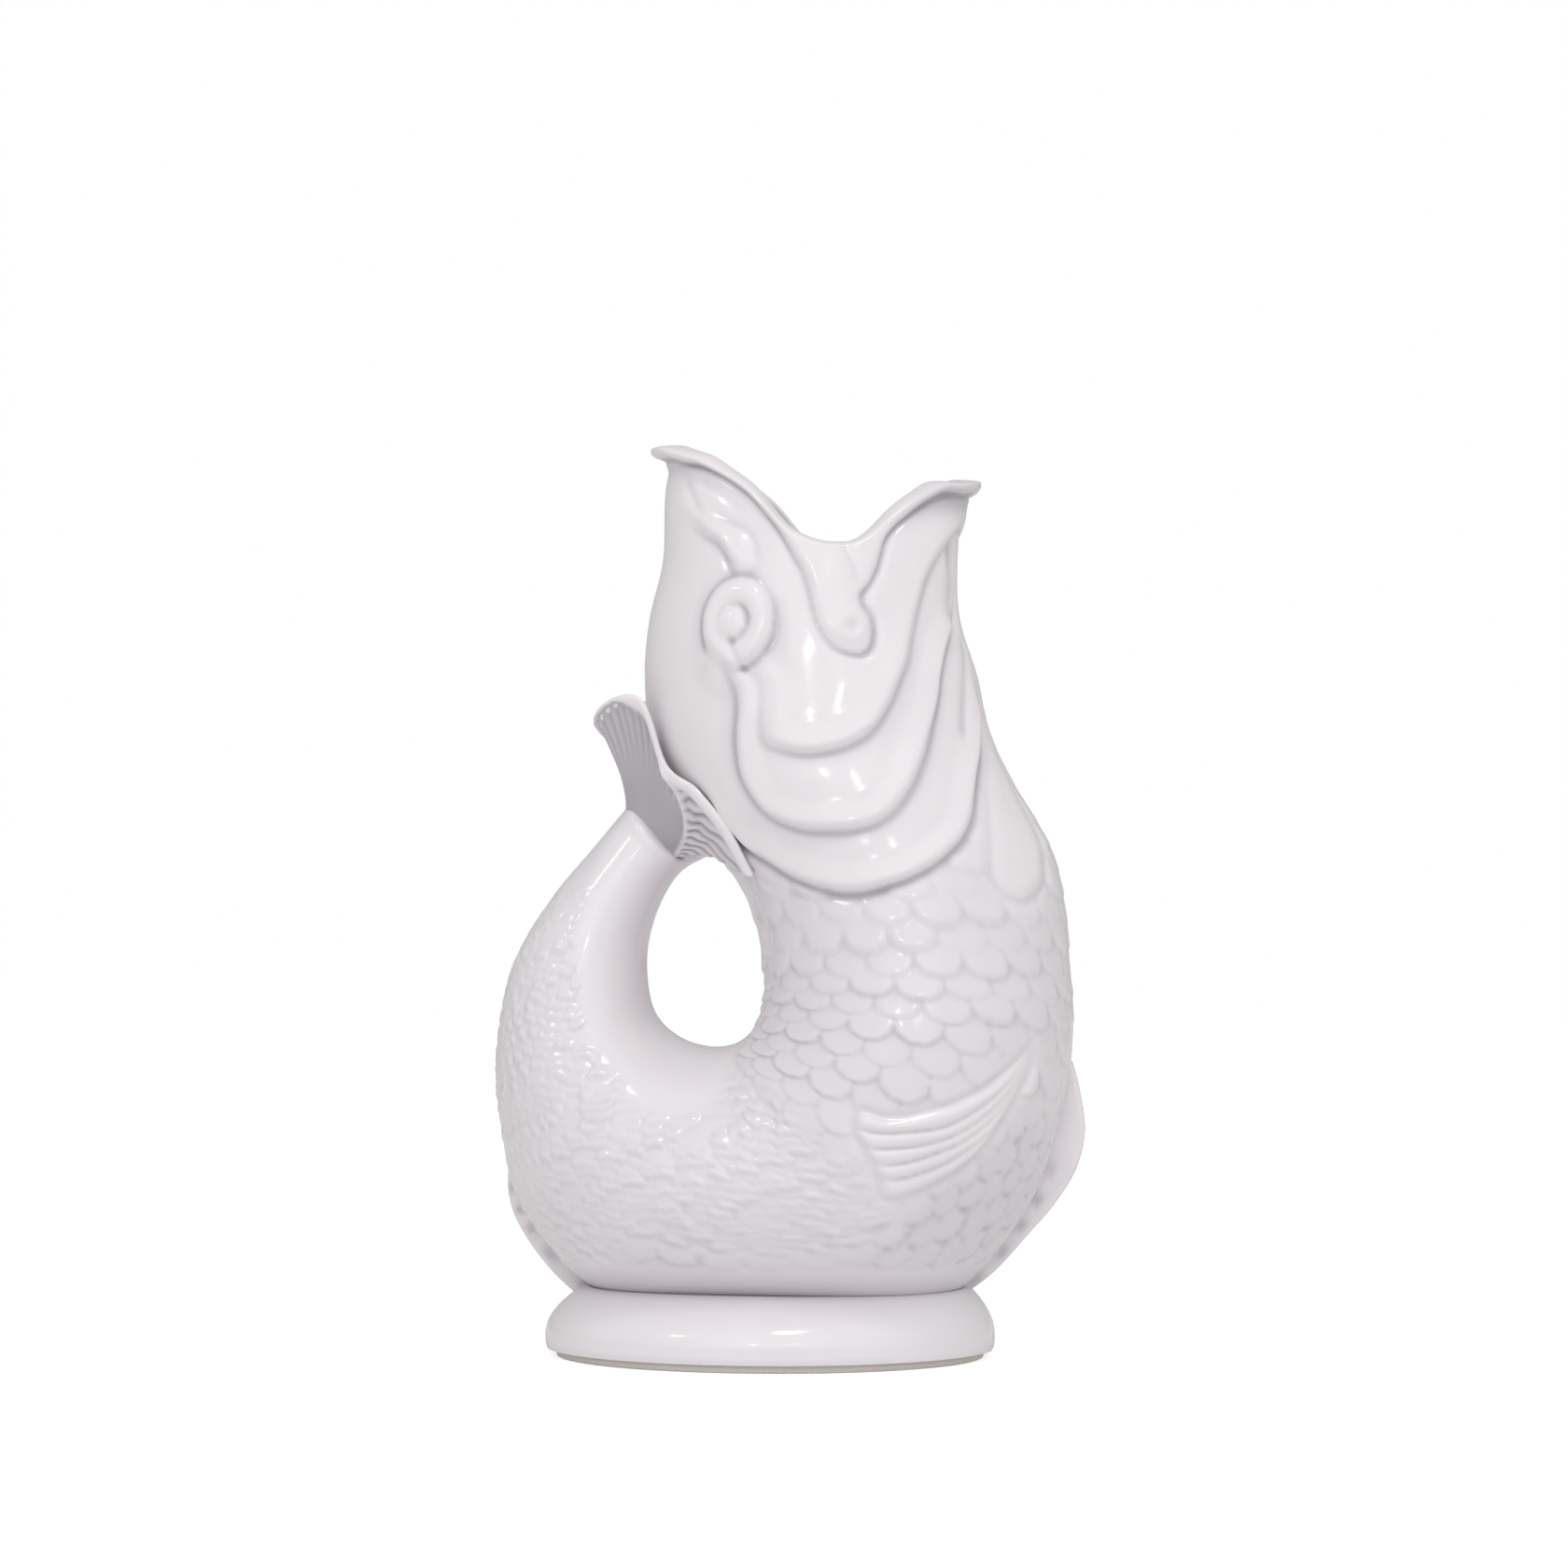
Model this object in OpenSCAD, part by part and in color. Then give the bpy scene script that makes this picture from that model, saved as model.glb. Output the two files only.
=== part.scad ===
// Gurgle jug: a fish that stands on an oval pedestal. Its mouth pours, its belly holds the drink,
// and its hollow tail curls up behind to meet the nape as the handle.
// Millimetres. Z is up, +X is the spout side, -X is the tail side and the table is z = 0.

/* [Jug] */
// Height from the table to the tip of the upper lip
jug_h = 240; // [220:1:270]
// Length from the back of the tail to the front of the belly
body_l = 153; // [138:1:178]
// Width of the belly from side to side
body_w = 100; // [88:1:120]
// Thickness of the cast wall
wall = 4.5; // [3:0.1:6]
// Layer of slip between two joined pieces
slip_gap = 0.15; // [0.1:0.05:0.3]

/* [Mouth] */
// Drop from the tip of the upper lip to the tip of the lower lip
lower_lip_drop = 9; // [4:0.2:16]
// Drop from the tip of the upper lip to the rim at the corners of the mouth
corner_drop = 27.5; // [20:0.5:34]
// How far the rolled rim stands out at the tip of the upper lip
upper_lip_roll = 3.6; // [2:0.1:6]
// How far the rolled rim stands out at the tip of the lower lip
lower_lip_roll = 5; // [2:0.1:7]
// Thickness of the lips at the corners of the mouth
lip_t = 1.8; // [1:0.1:3]

/* [Pedestal] */
// Length of the pedestal
pedestal_l = 119; // [108:1:140]
// Width of the pedestal
pedestal_w = 96; // [88:1:120]
// How far the middle of the pedestal sits behind the middle of the body
pedestal_back = 3.5; // [0:0.5:6]
// Height at which the belly meets the pedestal
pedestal_h = 22; // [18:0.5:28]
// Depth of the seat that the belly rests in
seat_depth = 6; // [3:0.5:8]
// Height of the unglazed foot ring
foot_ring_h = 2; // [1:0.5:3]
// Width of the foot ring's flat face
foot_ring_w = 8; // [5:0.5:10]
// Inset of the foot ring from the widest part of the pedestal
foot_ring_inset = 3; // [2:0.5:6]

/* [Eye] */
// Width of the eye ring's outer edge
eye_ring_d = 19.6; // [16:0.2:21]
// Width of the eye ring's roll
eye_ring_w = 5.2; // [4:0.2:5.4]
// How far the eye ring stands out
eye_ring_t = 2.4; // [1:0.1:4]
// Diameter of the pupil
eye_pupil_d = 7.8; // [5:0.2:8.4]
// How far the pupil stands out
eye_pupil_t = 2.2; // [1:0.1:4]

/* [Head plates] */
// Thickness of the gill cover
gill_cover_t = 2.2; // [1:0.1:4]
// Thickness of the band between the gill cover and the cheek
cheek_band_t = 2.8; // [1:0.1:4]
// Thickness of the cheek plate
cheek_plate_t = 3.2; // [1:0.1:4.5]
// Thickness of the brow
brow_t = 2; // [1:0.1:3]
// Thickness of the lobe beside the throat
throat_lobe_t = 2; // [1:0.1:3]

/* [Fins] */
// Thickness of the tail fin
tail_fin_t = 3; // [2:0.1:4]
// How far the ventral fin stands out from the belly
ventral_fin_reach = 8; // [5:0.5:11]
// Thickness of the ventral fin
ventral_fin_t = 3.2; // [2:0.1:5]
// How far the anal fin stands out from the belly
anal_fin_reach = 4; // [2.5:0.5:6]
// Thickness of the anal fin
anal_fin_t = 3.2; // [2:0.1:5]
// Thickness of the pectoral fins
pectoral_fin_t = 2.4; // [1.5:0.1:4]

/* [Hidden] */
// Cross-sections from the mouth, down the neck, round the belly and up the tail. Each row holds the
// back edge x and z, the belly edge x and z, and the half width. x is in shares of half the body
// length, z in shares of the height above the pedestal, and the half width in shares of half the
// belly width. The first ten rows are level and evenly spaced.
station_shares = [
    [-0.406, 1.00, 0.631, 1.00, 0.44],
    [-0.41, 0.93, 0.618, 0.93, 0.52],
    [-0.416, 0.86, 0.603, 0.86, 0.59],
    [-0.462, 0.79, 0.611, 0.79, 0.648],
    [-0.478, 0.72, 0.671, 0.72, 0.692],
    [-0.454, 0.65, 0.716, 0.65, 0.734],
    [-0.363, 0.58, 0.814, 0.58, 0.78],
    [-0.226, 0.51, 0.925, 0.51, 0.826],
    [-0.105, 0.44, 0.971, 0.44, 0.876],
    [-0.063, 0.37, 0.986, 0.37, 0.932],
    [-0.062, 0.33, 0.998, 0.298, 0.976],
    [-0.095, 0.298, 0.961, 0.2, 1],
    [-0.147, 0.28, 0.84, 0.078, 1],
    [-0.212, 0.273, 0.52, -0.039, 0.98],
    [-0.278, 0.274, -0.082, -0.057, 0.94],
    [-0.35, 0.282, -0.605, -0.028, 0.88],
    [-0.415, 0.298, -0.892, 0.069, 0.77],
    [-0.458, 0.321, -0.984, 0.179, 0.63],
    [-0.476, 0.36, -1, 0.271, 0.51],
    [-0.469, 0.401, -0.942, 0.372, 0.41],
    [-0.428, 0.446, -0.807, 0.452, 0.33],
    [-0.36, 0.483, -0.663, 0.512, 0.27],
    [-0.271, 0.502, -0.526, 0.569, 0.226],
    [-0.18, 0.516, -0.395, 0.619, 0.2]
];
// Spacing of the level stations
head_step_share = 0.07;
// Stations where the head's rows turn level, where the tail is luted on and where it meets the nape
collar_station = 5;
root_station = 16;
nape_station = 22.7;
// Last full station of the tail, outside and inside
tail_station = 22;
chamber_station = 21.7;
// Stations at the front of the belly, at its lowest place and at its back
front_station = 10;
low_station = 14;
back_station = 18;

// Angles round a section run from 0 at the belly edge to 180 at the back edge.
// Where the rim leaves the upper jaw, where it is lowest and where it reaches the lower jaw
upper_jaw_angle = 148;
corner_back_angle = 76;
corner_front_angle = 72;
lower_jaw_angle = 28;

// Drop from the tip of the upper lip to the lower edge of its lobes, which meets the cheeks, as a share
// of the height above the pedestal
lobe_drop_share = 0.264;
// Each lip from the mouth's corner to its tip: the angle at the rim, the angle at the lower edge, and
// how far the lower edge lies below the rim, in shares of the lobe's height
upper_lip_shares = [
    [67, 63, 0.65], [68.5, 62.5, 0.82], [70.5, 66.5, 0.99], [73.5, 72.5, 1], [77, 77.5, 0.94],
    [80.5, 81, 0.81], [84, 83, 0.63], [88, 85.5, 0.44], [92.5, 90, 0.32], [97.5, 95.7, 0.19],
    [105, 105, 0.08], [116, 116, 0.06], [131, 131, 0.12], [155, 155, 0.195], [180, 180, 0.19]
];
lower_lip_shares = [
    [66, 65, 0.5], [63, 61, 0.37], [59, 57.5, 0.15], [53, 52, 0.09], [46, 45, 0.115],
    [36, 35.5, 0.175], [20, 20, 0.165], [0, 0, 0.14]
];

// Edges of the head plates seen from the side: x in shares of half the body length and z in shares of
// the height above the pedestal
gill_edge_shares = [
    [-0.13, 0.528], [-0.05, 0.503], [0.05, 0.482], [0.16, 0.466], [0.28, 0.458], [0.4, 0.465],
    [0.51, 0.48], [0.6, 0.503], [0.655, 0.53], [0.68, 0.57], [0.686, 0.63]
];
band_edge_shares = [
    [-0.15, 0.718], [-0.112, 0.69], [-0.105, 0.64], [-0.085, 0.595], [0, 0.55], [0.14, 0.531],
    [0.28, 0.531], [0.41, 0.551], [0.485, 0.593], [0.53, 0.652], [0.555, 0.72]
];
cheek_edge_shares = [
    [-0.045, 0.712], [-0.024, 0.69], [-0.018, 0.655], [0, 0.632], [0.06, 0.624], [0.16, 0.621],
    [0.27, 0.632], [0.36, 0.657], [0.425, 0.709], [0.462, 0.763], [0.495, 0.818]
];
cheek_top_shares = [
    [-0.02, 0.713], [0.01, 0.718], [0.04, 0.725], [0.08, 0.73], [0.13, 0.732], [0.2, 0.728],
    [0.28, 0.724], [0.345, 0.73], [0.385, 0.762], [0.41, 0.795], [0.44, 0.825]
];
brow_low_shares = [[-0.27, 0.893], [-0.21, 0.878], [-0.16, 0.86], [-0.125, 0.845]];
brow_high_shares = [[-0.22, 0.922], [-0.14, 0.899], [-0.07, 0.88], [-0.05, 0.85]];
// Middle of the eye, and the height of its ring as a share of its width
eye_place_shares = [-0.11, 0.777];
eye_tall_share = 1.2;
// Gap left along each side of a seam between two plates, as a share of the plate's width
seam_share = 0.015;
// Heights of a plate across its width, from its outer edge, as shares of its thickness
plate_shares = [0.6, 1, 1, 0.9];
// The widest that a plate reaches towards the front or the back of a section
reach_share = 0.985;

// Throat lobe and pectoral fin as station and angle along their two edges
throat_front_places = [[5, 6], [5.8, 7], [6.6, 12], [7.2, 19], [7.75, 29]];
throat_back_places = [[5.1, 14], [5.8, 29], [6.6, 43], [7.3, 50], [7.85, 41]];
pectoral_high_places = [[10.3, 42], [10.6, 48.5], [10.95, 60], [11.3, 73], [11.66, 88]];
pectoral_low_places = [[10.5, 41], [11.2, 44.5], [11.7, 51], [12.15, 59.5], [12.45, 67]];
// Stations between which the blades stand, and how far they stand out on the way, as shares
ventral_stations = [10.45, 12.45];
ventral_reach_shares = [0.1, 0.5, 0.92, 1, 0.8, 0.55, 0.38];
anal_stations = [15.48, 16.4];
anal_reach_shares = [0.5, 0.85, 1, 0.95, 0.7, 0.25];
// How far the ventral fin's reach carries past the front of the belly
overhang_share = 0.6;

// Rim of the tail fin from the middle of the back to the side of the neck: x in shares of half the body
// length, y in shares of half the belly width and z in shares of the height above the pedestal
fin_rim_shares = [
    [-0.56, 0, 0.63], [-0.635, 0.22, 0.668], [-0.555, 0.34, 0.693], [-0.45, 0.4, 0.687],
    [-0.37, 0.42, 0.612], [-0.25, 0.51, 0.581], [-0.15, 0.565, 0.538], [-0.06, 0.57, 0.478]
];
// Angles round the tail at which the fin leaves it, one for each point of the rim
fin_root_angles = [0, 24, 48, 72, 92, 110, 126, 140];
fin_root_station = 21.5;
// How far the fin runs on along the tail before it flares, as a share of the height above the pedestal
fin_flare_share = 0.05;
// Taper of the fins towards their rims
rim_taper_share = 0.7;

// Pedestal profile from the belly to the foot: share of the way out to the widest oval, share of height
pedestal_shares = [[0.2, 0.95], [0.42, 0.8], [0.68, 0.63], [0.9, 0.47], [1, 0.32], [1, 0.18]];

// Points round the vessel, the tail, the pedestal and the eyes
around = 48;
tail_around = 32;
oval_around = 72;
eye_around = 32;
head_rows = 14;
body_rows = 26;
tail_rows = 16;
eye_rows = 4;
plate_steps = 2;
fin_rows = 4;
fin_steps = 4;
bisections = 24;

fish_h = jug_h - pedestal_h;
head_step = head_step_share * fish_h;
lip_lobe_h = lobe_drop_share * fish_h - corner_drop;
centre_x = -ventral_fin_reach * overhang_share / 2;
pedestal_x = centre_x - pedestal_back;
stations = [
    for (s = station_shares)
        [
            centre_x + s[0] * body_l / 2, pedestal_h + s[1] * fish_h,
            centre_x + s[2] * body_l / 2, pedestal_h + s[3] * fish_h,
            s[4] * body_w / 2
        ]
];

// Smooth step from 0 to 1
function ease(x) = let (u = min(max(x, 0), 1)) u * u * (3 - 2 * u);

// Smooth curve through a list of values, at a whole or part step along it
function entry(list, i) =
    i < 0 ? 2 * list[0] - list[-i]
    : i >= len(list) ? 2 * list[len(list) - 1] - list[2 * len(list) - 2 - i]
    : list[i];
function blend(p, q, r, s, u) =
    q + u / 2 * (r - p + u * (2 * p - 5 * q + 4 * r - s + u * (3 * (q - r) + s - p)));
function along(list, k) =
    let (i = min(max(floor(k), 0), len(list) - 2))
    blend(entry(list, i - 1), list[i], list[i + 1], entry(list, i + 2), k - i);

// Point of the body's surface at a station and an angle, raised by off
function skin(k, t, off) =
    let (s = along(stations, k))
    let (back = [s[0], 0, s[1]], front = [s[2], 0, s[3]])
    let (half = norm(front - back) / 2, to_front = (front - back) / (2 * half))
    (back + front) / 2 + to_front * (half + off) * cos(t) + [0, (s[4] + off) * sin(t), 0];

// Point of the head's right side seen at x and z, raised by off
function side_skin(place, off) =
    let (z = pedestal_h + place[1] * fish_h, x = centre_x + place[0] * body_l / 2)
    let (s = along(stations, (jug_h - z) / head_step))
    let (half = (s[2] - s[0]) / 2, mid = (s[2] + s[0]) / 2)
    let (q = min(max((x - mid) / half, -reach_share), reach_share))
    [mid + (half + off) * q, -(s[4] + off) * sqrt(1 - q * q), z];

// Station of the rim at an angle, and of the vessel's rows below it
function rim_drop(t) =
    let (f = t > 180 ? 360 - t : abs(t))
    f > (corner_back_angle + corner_front_angle) / 2
        ? corner_drop * ease((upper_jaw_angle - f) / (upper_jaw_angle - corner_back_angle))
        : lower_lip_drop + (corner_drop - lower_lip_drop)
            * ease((f - lower_jaw_angle) / (corner_front_angle - lower_jaw_angle));
function rim_station(t) = rim_drop(t) / head_step;
function row_station(j, t) =
    j < head_rows
        ? rim_station(t) + (collar_station - rim_station(t)) * j / head_rows
        : collar_station + (root_station - collar_station) * (j - head_rows) / body_rows;
function vessel_ring(j, off) =
    [for (i = [0 : around - 1]) let (t = 360 * i / around) skin(row_station(j, t), t, off)];

function tail_ring(k, off) =
    [for (i = [0 : tail_around - 1]) skin(k, 360 * i / tail_around, off)];

// Point of the nape straight ahead of a place, short of it by the slip
function on_nape(p) =
    let (s = along(stations, (jug_h - p[2]) / head_step))
    let (half = (s[2] - s[0]) / 2 + slip_gap, mid = (s[2] + s[0]) / 2, w = s[4] + slip_gap)
    [mid - half * sqrt(1 - pow(p[1] / w, 2)), p[1], p[2]];
function nape_ring(share) =
    let (ring = tail_ring(nape_station, 0), middle = skin(nape_station, 90, 0))
    let (centre = [middle[0], 0, middle[2]])
    [for (p = ring) on_nape(centre + (p - centre) * share)];

// Station between two others at which the belly edge is at height z
function belly_station(high, low, z, n) =
    let (k = (high + low) / 2)
    n == 0 ? k
    : along(stations, k)[3] > z ? belly_station(k, low, z, n - 1)
    : belly_station(high, k, z, n - 1);

// Outline of the belly at height z, just off its skin, and the pedestal's oval
function belly_ring(z) =
    let (k0 = belly_station(front_station, low_station, z, bisections))
    let (k1 = belly_station(back_station, low_station, z, bisections))
    [
        for (i = [0 : oval_around - 1])
            let (f = 360 * i / oval_around)
            let (k = (k0 + k1) / 2 + (k0 - k1) / 2 * cos(f), s = along(stations, k))
            let (half = norm([s[2] - s[0], s[3] - s[1]]) / 2, mid_z = (s[1] + s[3]) / 2)
            let (fall = (s[3] - s[1]) / (2 * half))
            let (c = (z - mid_z) / (fall * (half + slip_gap)))
            skin(k, sign(sin(f)) * acos(min(max(c, -1), 1)), slip_gap)
    ];
function oval_point(f, inset, z) =
    [pedestal_x + (pedestal_l / 2 - inset) * cos(f), (pedestal_w / 2 - inset) * sin(f), z];
function oval_angle(p) = atan2(p[1] / pedestal_w, (p[0] - pedestal_x) / pedestal_l);

// Faces of a stack of closed rings, with each ring joined to the next
function ring_faces(rings, n, wraps) =
    [
        for (j = [0 : rings - (wraps ? 1 : 2)], i = [0 : n - 1])
            let (a = j * n + i, b = j * n + (i + 1) % n)
            let (c = (j + 1) % rings * n + (i + 1) % n, d = (j + 1) % rings * n + i)
            each [[a, b, c], [a, c, d]]
    ];
function joined(lists) = [for (list = lists) each list];
function reversed(list) = [for (i = [len(list) - 1 : -1 : 0]) list[i]];

// Solid that closes on itself both ways, from its rings
module ring_solid(rings) {
    polyhedron(joined(rings), ring_faces(len(rings), len(rings[0]), true));
}

// Solid from its rings, closed by a point at each end
module capped_solid(first, rings, last) {
    n = len(rings[0]);
    m = len(rings);
    polyhedron(
        concat(joined(rings), [first, last]),
        concat(
            ring_faces(m, n, false),
            [for (i = [0 : n - 1]) [m * n, (i + 1) % n, i]],
            [for (i = [0 : n - 1]) [m * n + 1, (m - 1) * n + i, (m - 1) * n + (i + 1) % n]]
        )
    );
}

// Plate between an outer and an inner sheet of points. Seen from outside, the columns run to the right
// and each column runs upwards.
module plate_solid(outer, inner) {
    w = len(outer[0]);
    n = 2 * w;
    m = len(outer);
    rings = [for (j = [0 : m - 1]) concat(outer[j], reversed(inner[j]))];
    polyhedron(
        joined(rings),
        concat(
            ring_faces(m, n, false),
            [for (i = [0 : w - 2]) each [[i + 1, i, n - 1 - i], [i + 1, n - 1 - i, n - 2 - i]]],
            [
                for (i = [0 : w - 2])
                    let (o = (m - 1) * n)
                    each [[o + i, o + i + 1, o + n - 2 - i], [o + i, o + n - 2 - i, o + n - 1 - i]]
            ]
        )
    );
}

// Columns of places between two edges, from the first edge to the second
function between(low, high) =
    [
        for (j = [0 : plate_steps * (len(low) - 1)])
            let (a = along(low, j / plate_steps), b = along(high, j / plate_steps))
            [
                for (i = [0 : len(plate_shares) - 1])
                    let (u = i / (len(plate_shares) - 1))
                    a + (b - a) * (seam_share + (1 - 2 * seam_share) * u)
            ]
    ];

// Plate on the right side of the head between two edges seen from the side
module side_plate(low, high, t) {
    columns = between(low, high);
    plate_solid(
        [
            for (c = columns)
                [for (i = [0 : len(c) - 1]) side_skin(c[i], slip_gap + t * plate_shares[i])]
        ],
        [for (c = columns) [for (p = c) side_skin(p, slip_gap)]]
    );
}

// Plate on the right side of the body between two edges given as stations and angles
module skin_plate(low, high, t) {
    columns = between(low, high);
    plate_solid(
        [
            for (c = columns)
                [for (i = [0 : len(c) - 1]) skin(c[i][0], -c[i][1], slip_gap + t * plate_shares[i])]
        ],
        [for (c = columns) [for (p = c) skin(p[0], -p[1], slip_gap)]]
    );
}

// Band from a lip's lower edge up to the rim, from the left corner of the mouth to the right one
module lip_band(table, turn, tip_t) {
    n = len(table) - 1;
    steps = plate_steps * n;
    columns = [
        for (j = [-steps : steps])
            let (row = along(table, n - abs(j) / plate_steps), s = turn * sign(j))
            let (t = tip_t + (lip_t - tip_t) * ease(abs(j) / steps * 2))
            [
                for (i = [0 : len(plate_shares) - 1])
                    let (u = i / (len(plate_shares) - 1))
                    let (angle = (j == 0 ? 1 : s) * (row[1] + (row[0] - row[1]) * u))
                    let (edge = rim_station(row[0]) + row[2] * lip_lobe_h / head_step)
                    [edge + (rim_station(row[0]) - edge) * u, angle, t * (u + plate_shares[i] * (1 - u))]
            ]
    ];
    plate_solid(
        [for (c = columns) [for (p = c) skin(p[0], p[1], slip_gap + p[2])]],
        [for (c = columns) [for (p = c) skin(p[0], p[1], slip_gap)]]
    );
}

// Blade that stands on the middle of the belly edge between two stations
module blade(ends, shares, reach, t) {
    steps = plate_steps * (len(shares) - 1);
    columns = [
        for (j = [0 : steps])
            let (k = ends[0] + (ends[1] - ends[0]) * j / steps, d = (ends[1] - ends[0]) / steps)
            let (run = skin(k + d, 0, 0) - skin(k - d, 0, 0))
            let (out = [-run[2], 0, run[0]] / norm(run), far = reach * along(shares, j / plate_steps))
            [
                for (i = [0 : fin_steps])
                    let (u = i / fin_steps)
                    concat(
                        skin(k, 0, 0) + out * (slip_gap + (far - slip_gap) * u),
                        t / 2 * (1 + (rim_taper_share - 1) * u)
                    )
            ]
    ];
    plate_solid(
        [for (c = columns) [for (p = c) [p[0], -p[3], p[2]]]],
        [for (c = columns) [for (p = c) [p[0], p[3], p[2]]]]
    );
}

// Place moved straight off the neck's skin where it lies nearer than off
function off_neck(p, off) =
    let (s = along(stations, (jug_h - p[2]) / head_step))
    let (mid = (s[2] + s[0]) / 2, half = (s[2] - s[0]) / 2 + off, w = s[4] + off)
    let (r = norm([(p[0] - mid) / half, p[1] / w]))
    r < 1 ? [mid + (p[0] - mid) / r, p[1] / r, p[2]] : p;

// Middle sheet of the tail fin, from its root on the tail to its rim
function fin_point(j, u) =
    let (f = abs(j), s = sign(j), rim = along(fin_rim_shares, f))
    let (angle = s * along(fin_root_angles, f))
    let (root = skin(fin_root_station, angle, slip_gap + tail_fin_t / 2))
    let (run = skin(fin_root_station + 1, angle, 0) - skin(fin_root_station, angle, 0))
    let (knee = root + run / norm(run) * fin_flare_share * fish_h)
    let (tip = [
        centre_x + rim[0] * body_l / 2, s * rim[1] * body_w / 2, pedestal_h + rim[2] * fish_h
    ])
    off_neck(
        root * pow(1 - u, 2) + knee * 2 * u * (1 - u) + tip * u * u,
        2 * slip_gap + tail_fin_t / 2
    );
function fin_normal(j, u) =
    let (d = 1 / (2 * fin_rows))
    let (across = fin_point(j + d, u) - fin_point(j - d, u))
    let (up = fin_point(j, u + d) - fin_point(j, u - d))
    cross(across, up) / norm(cross(across, up));

module vessel_body() {
    color([0.91, 0.9, 0.91])
        ring_solid(concat(
            [for (j = [0 : head_rows + body_rows]) vessel_ring(j, 0)],
            [for (j = [head_rows + body_rows : -2 : 0]) vessel_ring(j, -wall)]
        ));
}

module tail_handle() {
    inner_step = (chamber_station - root_station) / tail_rows;
    outer_step = (tail_station - root_station) / tail_rows;
    chamber_end = tail_ring(chamber_station, -wall);
    nape_middle = nape_ring(0)[0];
    color([0.9, 0.89, 0.9])
        capped_solid(
            (chamber_end[0] + chamber_end[tail_around / 2]) / 2,
            concat(
                [for (j = [tail_rows : -1 : 0]) tail_ring(root_station + inner_step * j, -wall)],
                [for (j = [0 : tail_rows]) tail_ring(root_station + outer_step * j, 0)],
                [for (share = [1, 2 / 3, 1 / 3]) nape_ring(share)]
            ),
            nape_middle
        );
}

module pedestal() {
    top = belly_ring(pedestal_h);
    wide = [for (p = top) oval_angle(p)];
    color([0.9, 0.89, 0.9])
        ring_solid(concat(
            [belly_ring(pedestal_h - seat_depth), top],
            [
                for (s = pedestal_shares)
                    [
                        for (i = [0 : oval_around - 1])
                            let (o = oval_point(wide[i], 0, s[1] * pedestal_h), p = top[i])
                            [p[0] + (o[0] - p[0]) * s[0], p[1] + (o[1] - p[1]) * s[0], o[2]]
                    ]
            ],
            [[for (f = wide) oval_point(f, foot_ring_inset, foot_ring_h)]],
            [[for (f = wide) oval_point(f, foot_ring_inset + foot_ring_w, foot_ring_h)]]
        ));
}

module foot_ring() {
    color([0.86, 0.83, 0.78])
        linear_extrude(foot_ring_h)
            difference() {
                polygon([
                    for (i = [0 : oval_around - 1])
                        let (p = oval_point(360 * i / oval_around, foot_ring_inset, 0)) [p[0], p[1]]
                ]);
                polygon([
                    for (i = [0 : oval_around - 1])
                        let (p = oval_point(360 * i / oval_around, foot_ring_inset + foot_ring_w, 0))
                        [p[0], p[1]]
                ]);
            }
}

module upper_lip() {
    color([0.93, 0.92, 0.93])
        lip_band(upper_lip_shares, -1, upper_lip_roll);
}

module lower_lip() {
    color([0.93, 0.92, 0.93])
        lip_band(lower_lip_shares, 1, lower_lip_roll);
}

module tail_fin() {
    last = len(fin_rim_shares) - 1;
    steps = fin_rows * last;
    sheets = [
        for (face = [1, -1])
            [
                for (j = [-steps : steps])
                    [
                        for (i = [0 : fin_rows])
                            let (u = i / fin_rows, k = -j / fin_rows)
                            fin_point(k, u) + face * tail_fin_t / 2 * (1 + (rim_taper_share - 1) * u)
                                * fin_normal(k, u)
                    ]
            ]
    ];
    color([0.88, 0.87, 0.88])
        plate_solid(sheets[1], sheets[0]);
}

module ventral_fin() {
    color([0.89, 0.88, 0.89])
        blade(ventral_stations, ventral_reach_shares, ventral_fin_reach, ventral_fin_t);
}

module anal_fin() {
    color([0.89, 0.88, 0.89])
        blade(anal_stations, anal_reach_shares, anal_fin_reach, anal_fin_t);
}

// Ring and pupil of the right eye
function eye_point(r, f, off) =
    side_skin(
        [
            eye_place_shares[0] + r * cos(f) / (body_l / 2),
            eye_place_shares[1] + r * eye_tall_share * sin(f) / fish_h
        ],
        slip_gap + off
    );

module eye_ring_right() {
    far = eye_ring_d / 2;
    near = far - eye_ring_w;
    color([0.92, 0.91, 0.92])
        ring_solid([
            for (i = [0 : eye_around - 1])
                let (f = 360 * i / eye_around)
                concat(
                    [
                        for (j = [0 : 2 * eye_rows])
                            let (u = j / (2 * eye_rows))
                            eye_point(far - eye_ring_w * (1 - cos(180 * u)) / 2, f, eye_ring_t * sin(180 * u))
                    ],
                    [eye_point((far + near) / 2, f, 0)]
                )
        ]);
}

module eye_pupil_right() {
    far = eye_pupil_d / 2;
    color([0.92, 0.91, 0.92])
        capped_solid(
            eye_point(0, 0, eye_pupil_t),
            [
                for (j = [1 : eye_rows])
                    [
                        for (i = [0 : eye_around - 1])
                            eye_point(far * sin(90 * j / eye_rows), 360 * i / eye_around,
                                eye_pupil_t * cos(90 * j / eye_rows))
                    ]
            ],
            eye_point(0, 0, 0)
        );
}

module brow_right() {
    color([0.92, 0.91, 0.92])
        side_plate(brow_low_shares, brow_high_shares, brow_t);
}

module gill_cover_right() {
    color([0.9, 0.89, 0.9])
        side_plate(gill_edge_shares, band_edge_shares, gill_cover_t);
}

module cheek_band_right() {
    color([0.91, 0.9, 0.91])
        side_plate(band_edge_shares, cheek_edge_shares, cheek_band_t);
}

module cheek_plate_right() {
    color([0.92, 0.91, 0.92])
        side_plate(cheek_edge_shares, cheek_top_shares, cheek_plate_t);
}

module throat_lobe_right() {
    color([0.92, 0.91, 0.92])
        skin_plate(throat_front_places, throat_back_places, throat_lobe_t);
}

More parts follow.
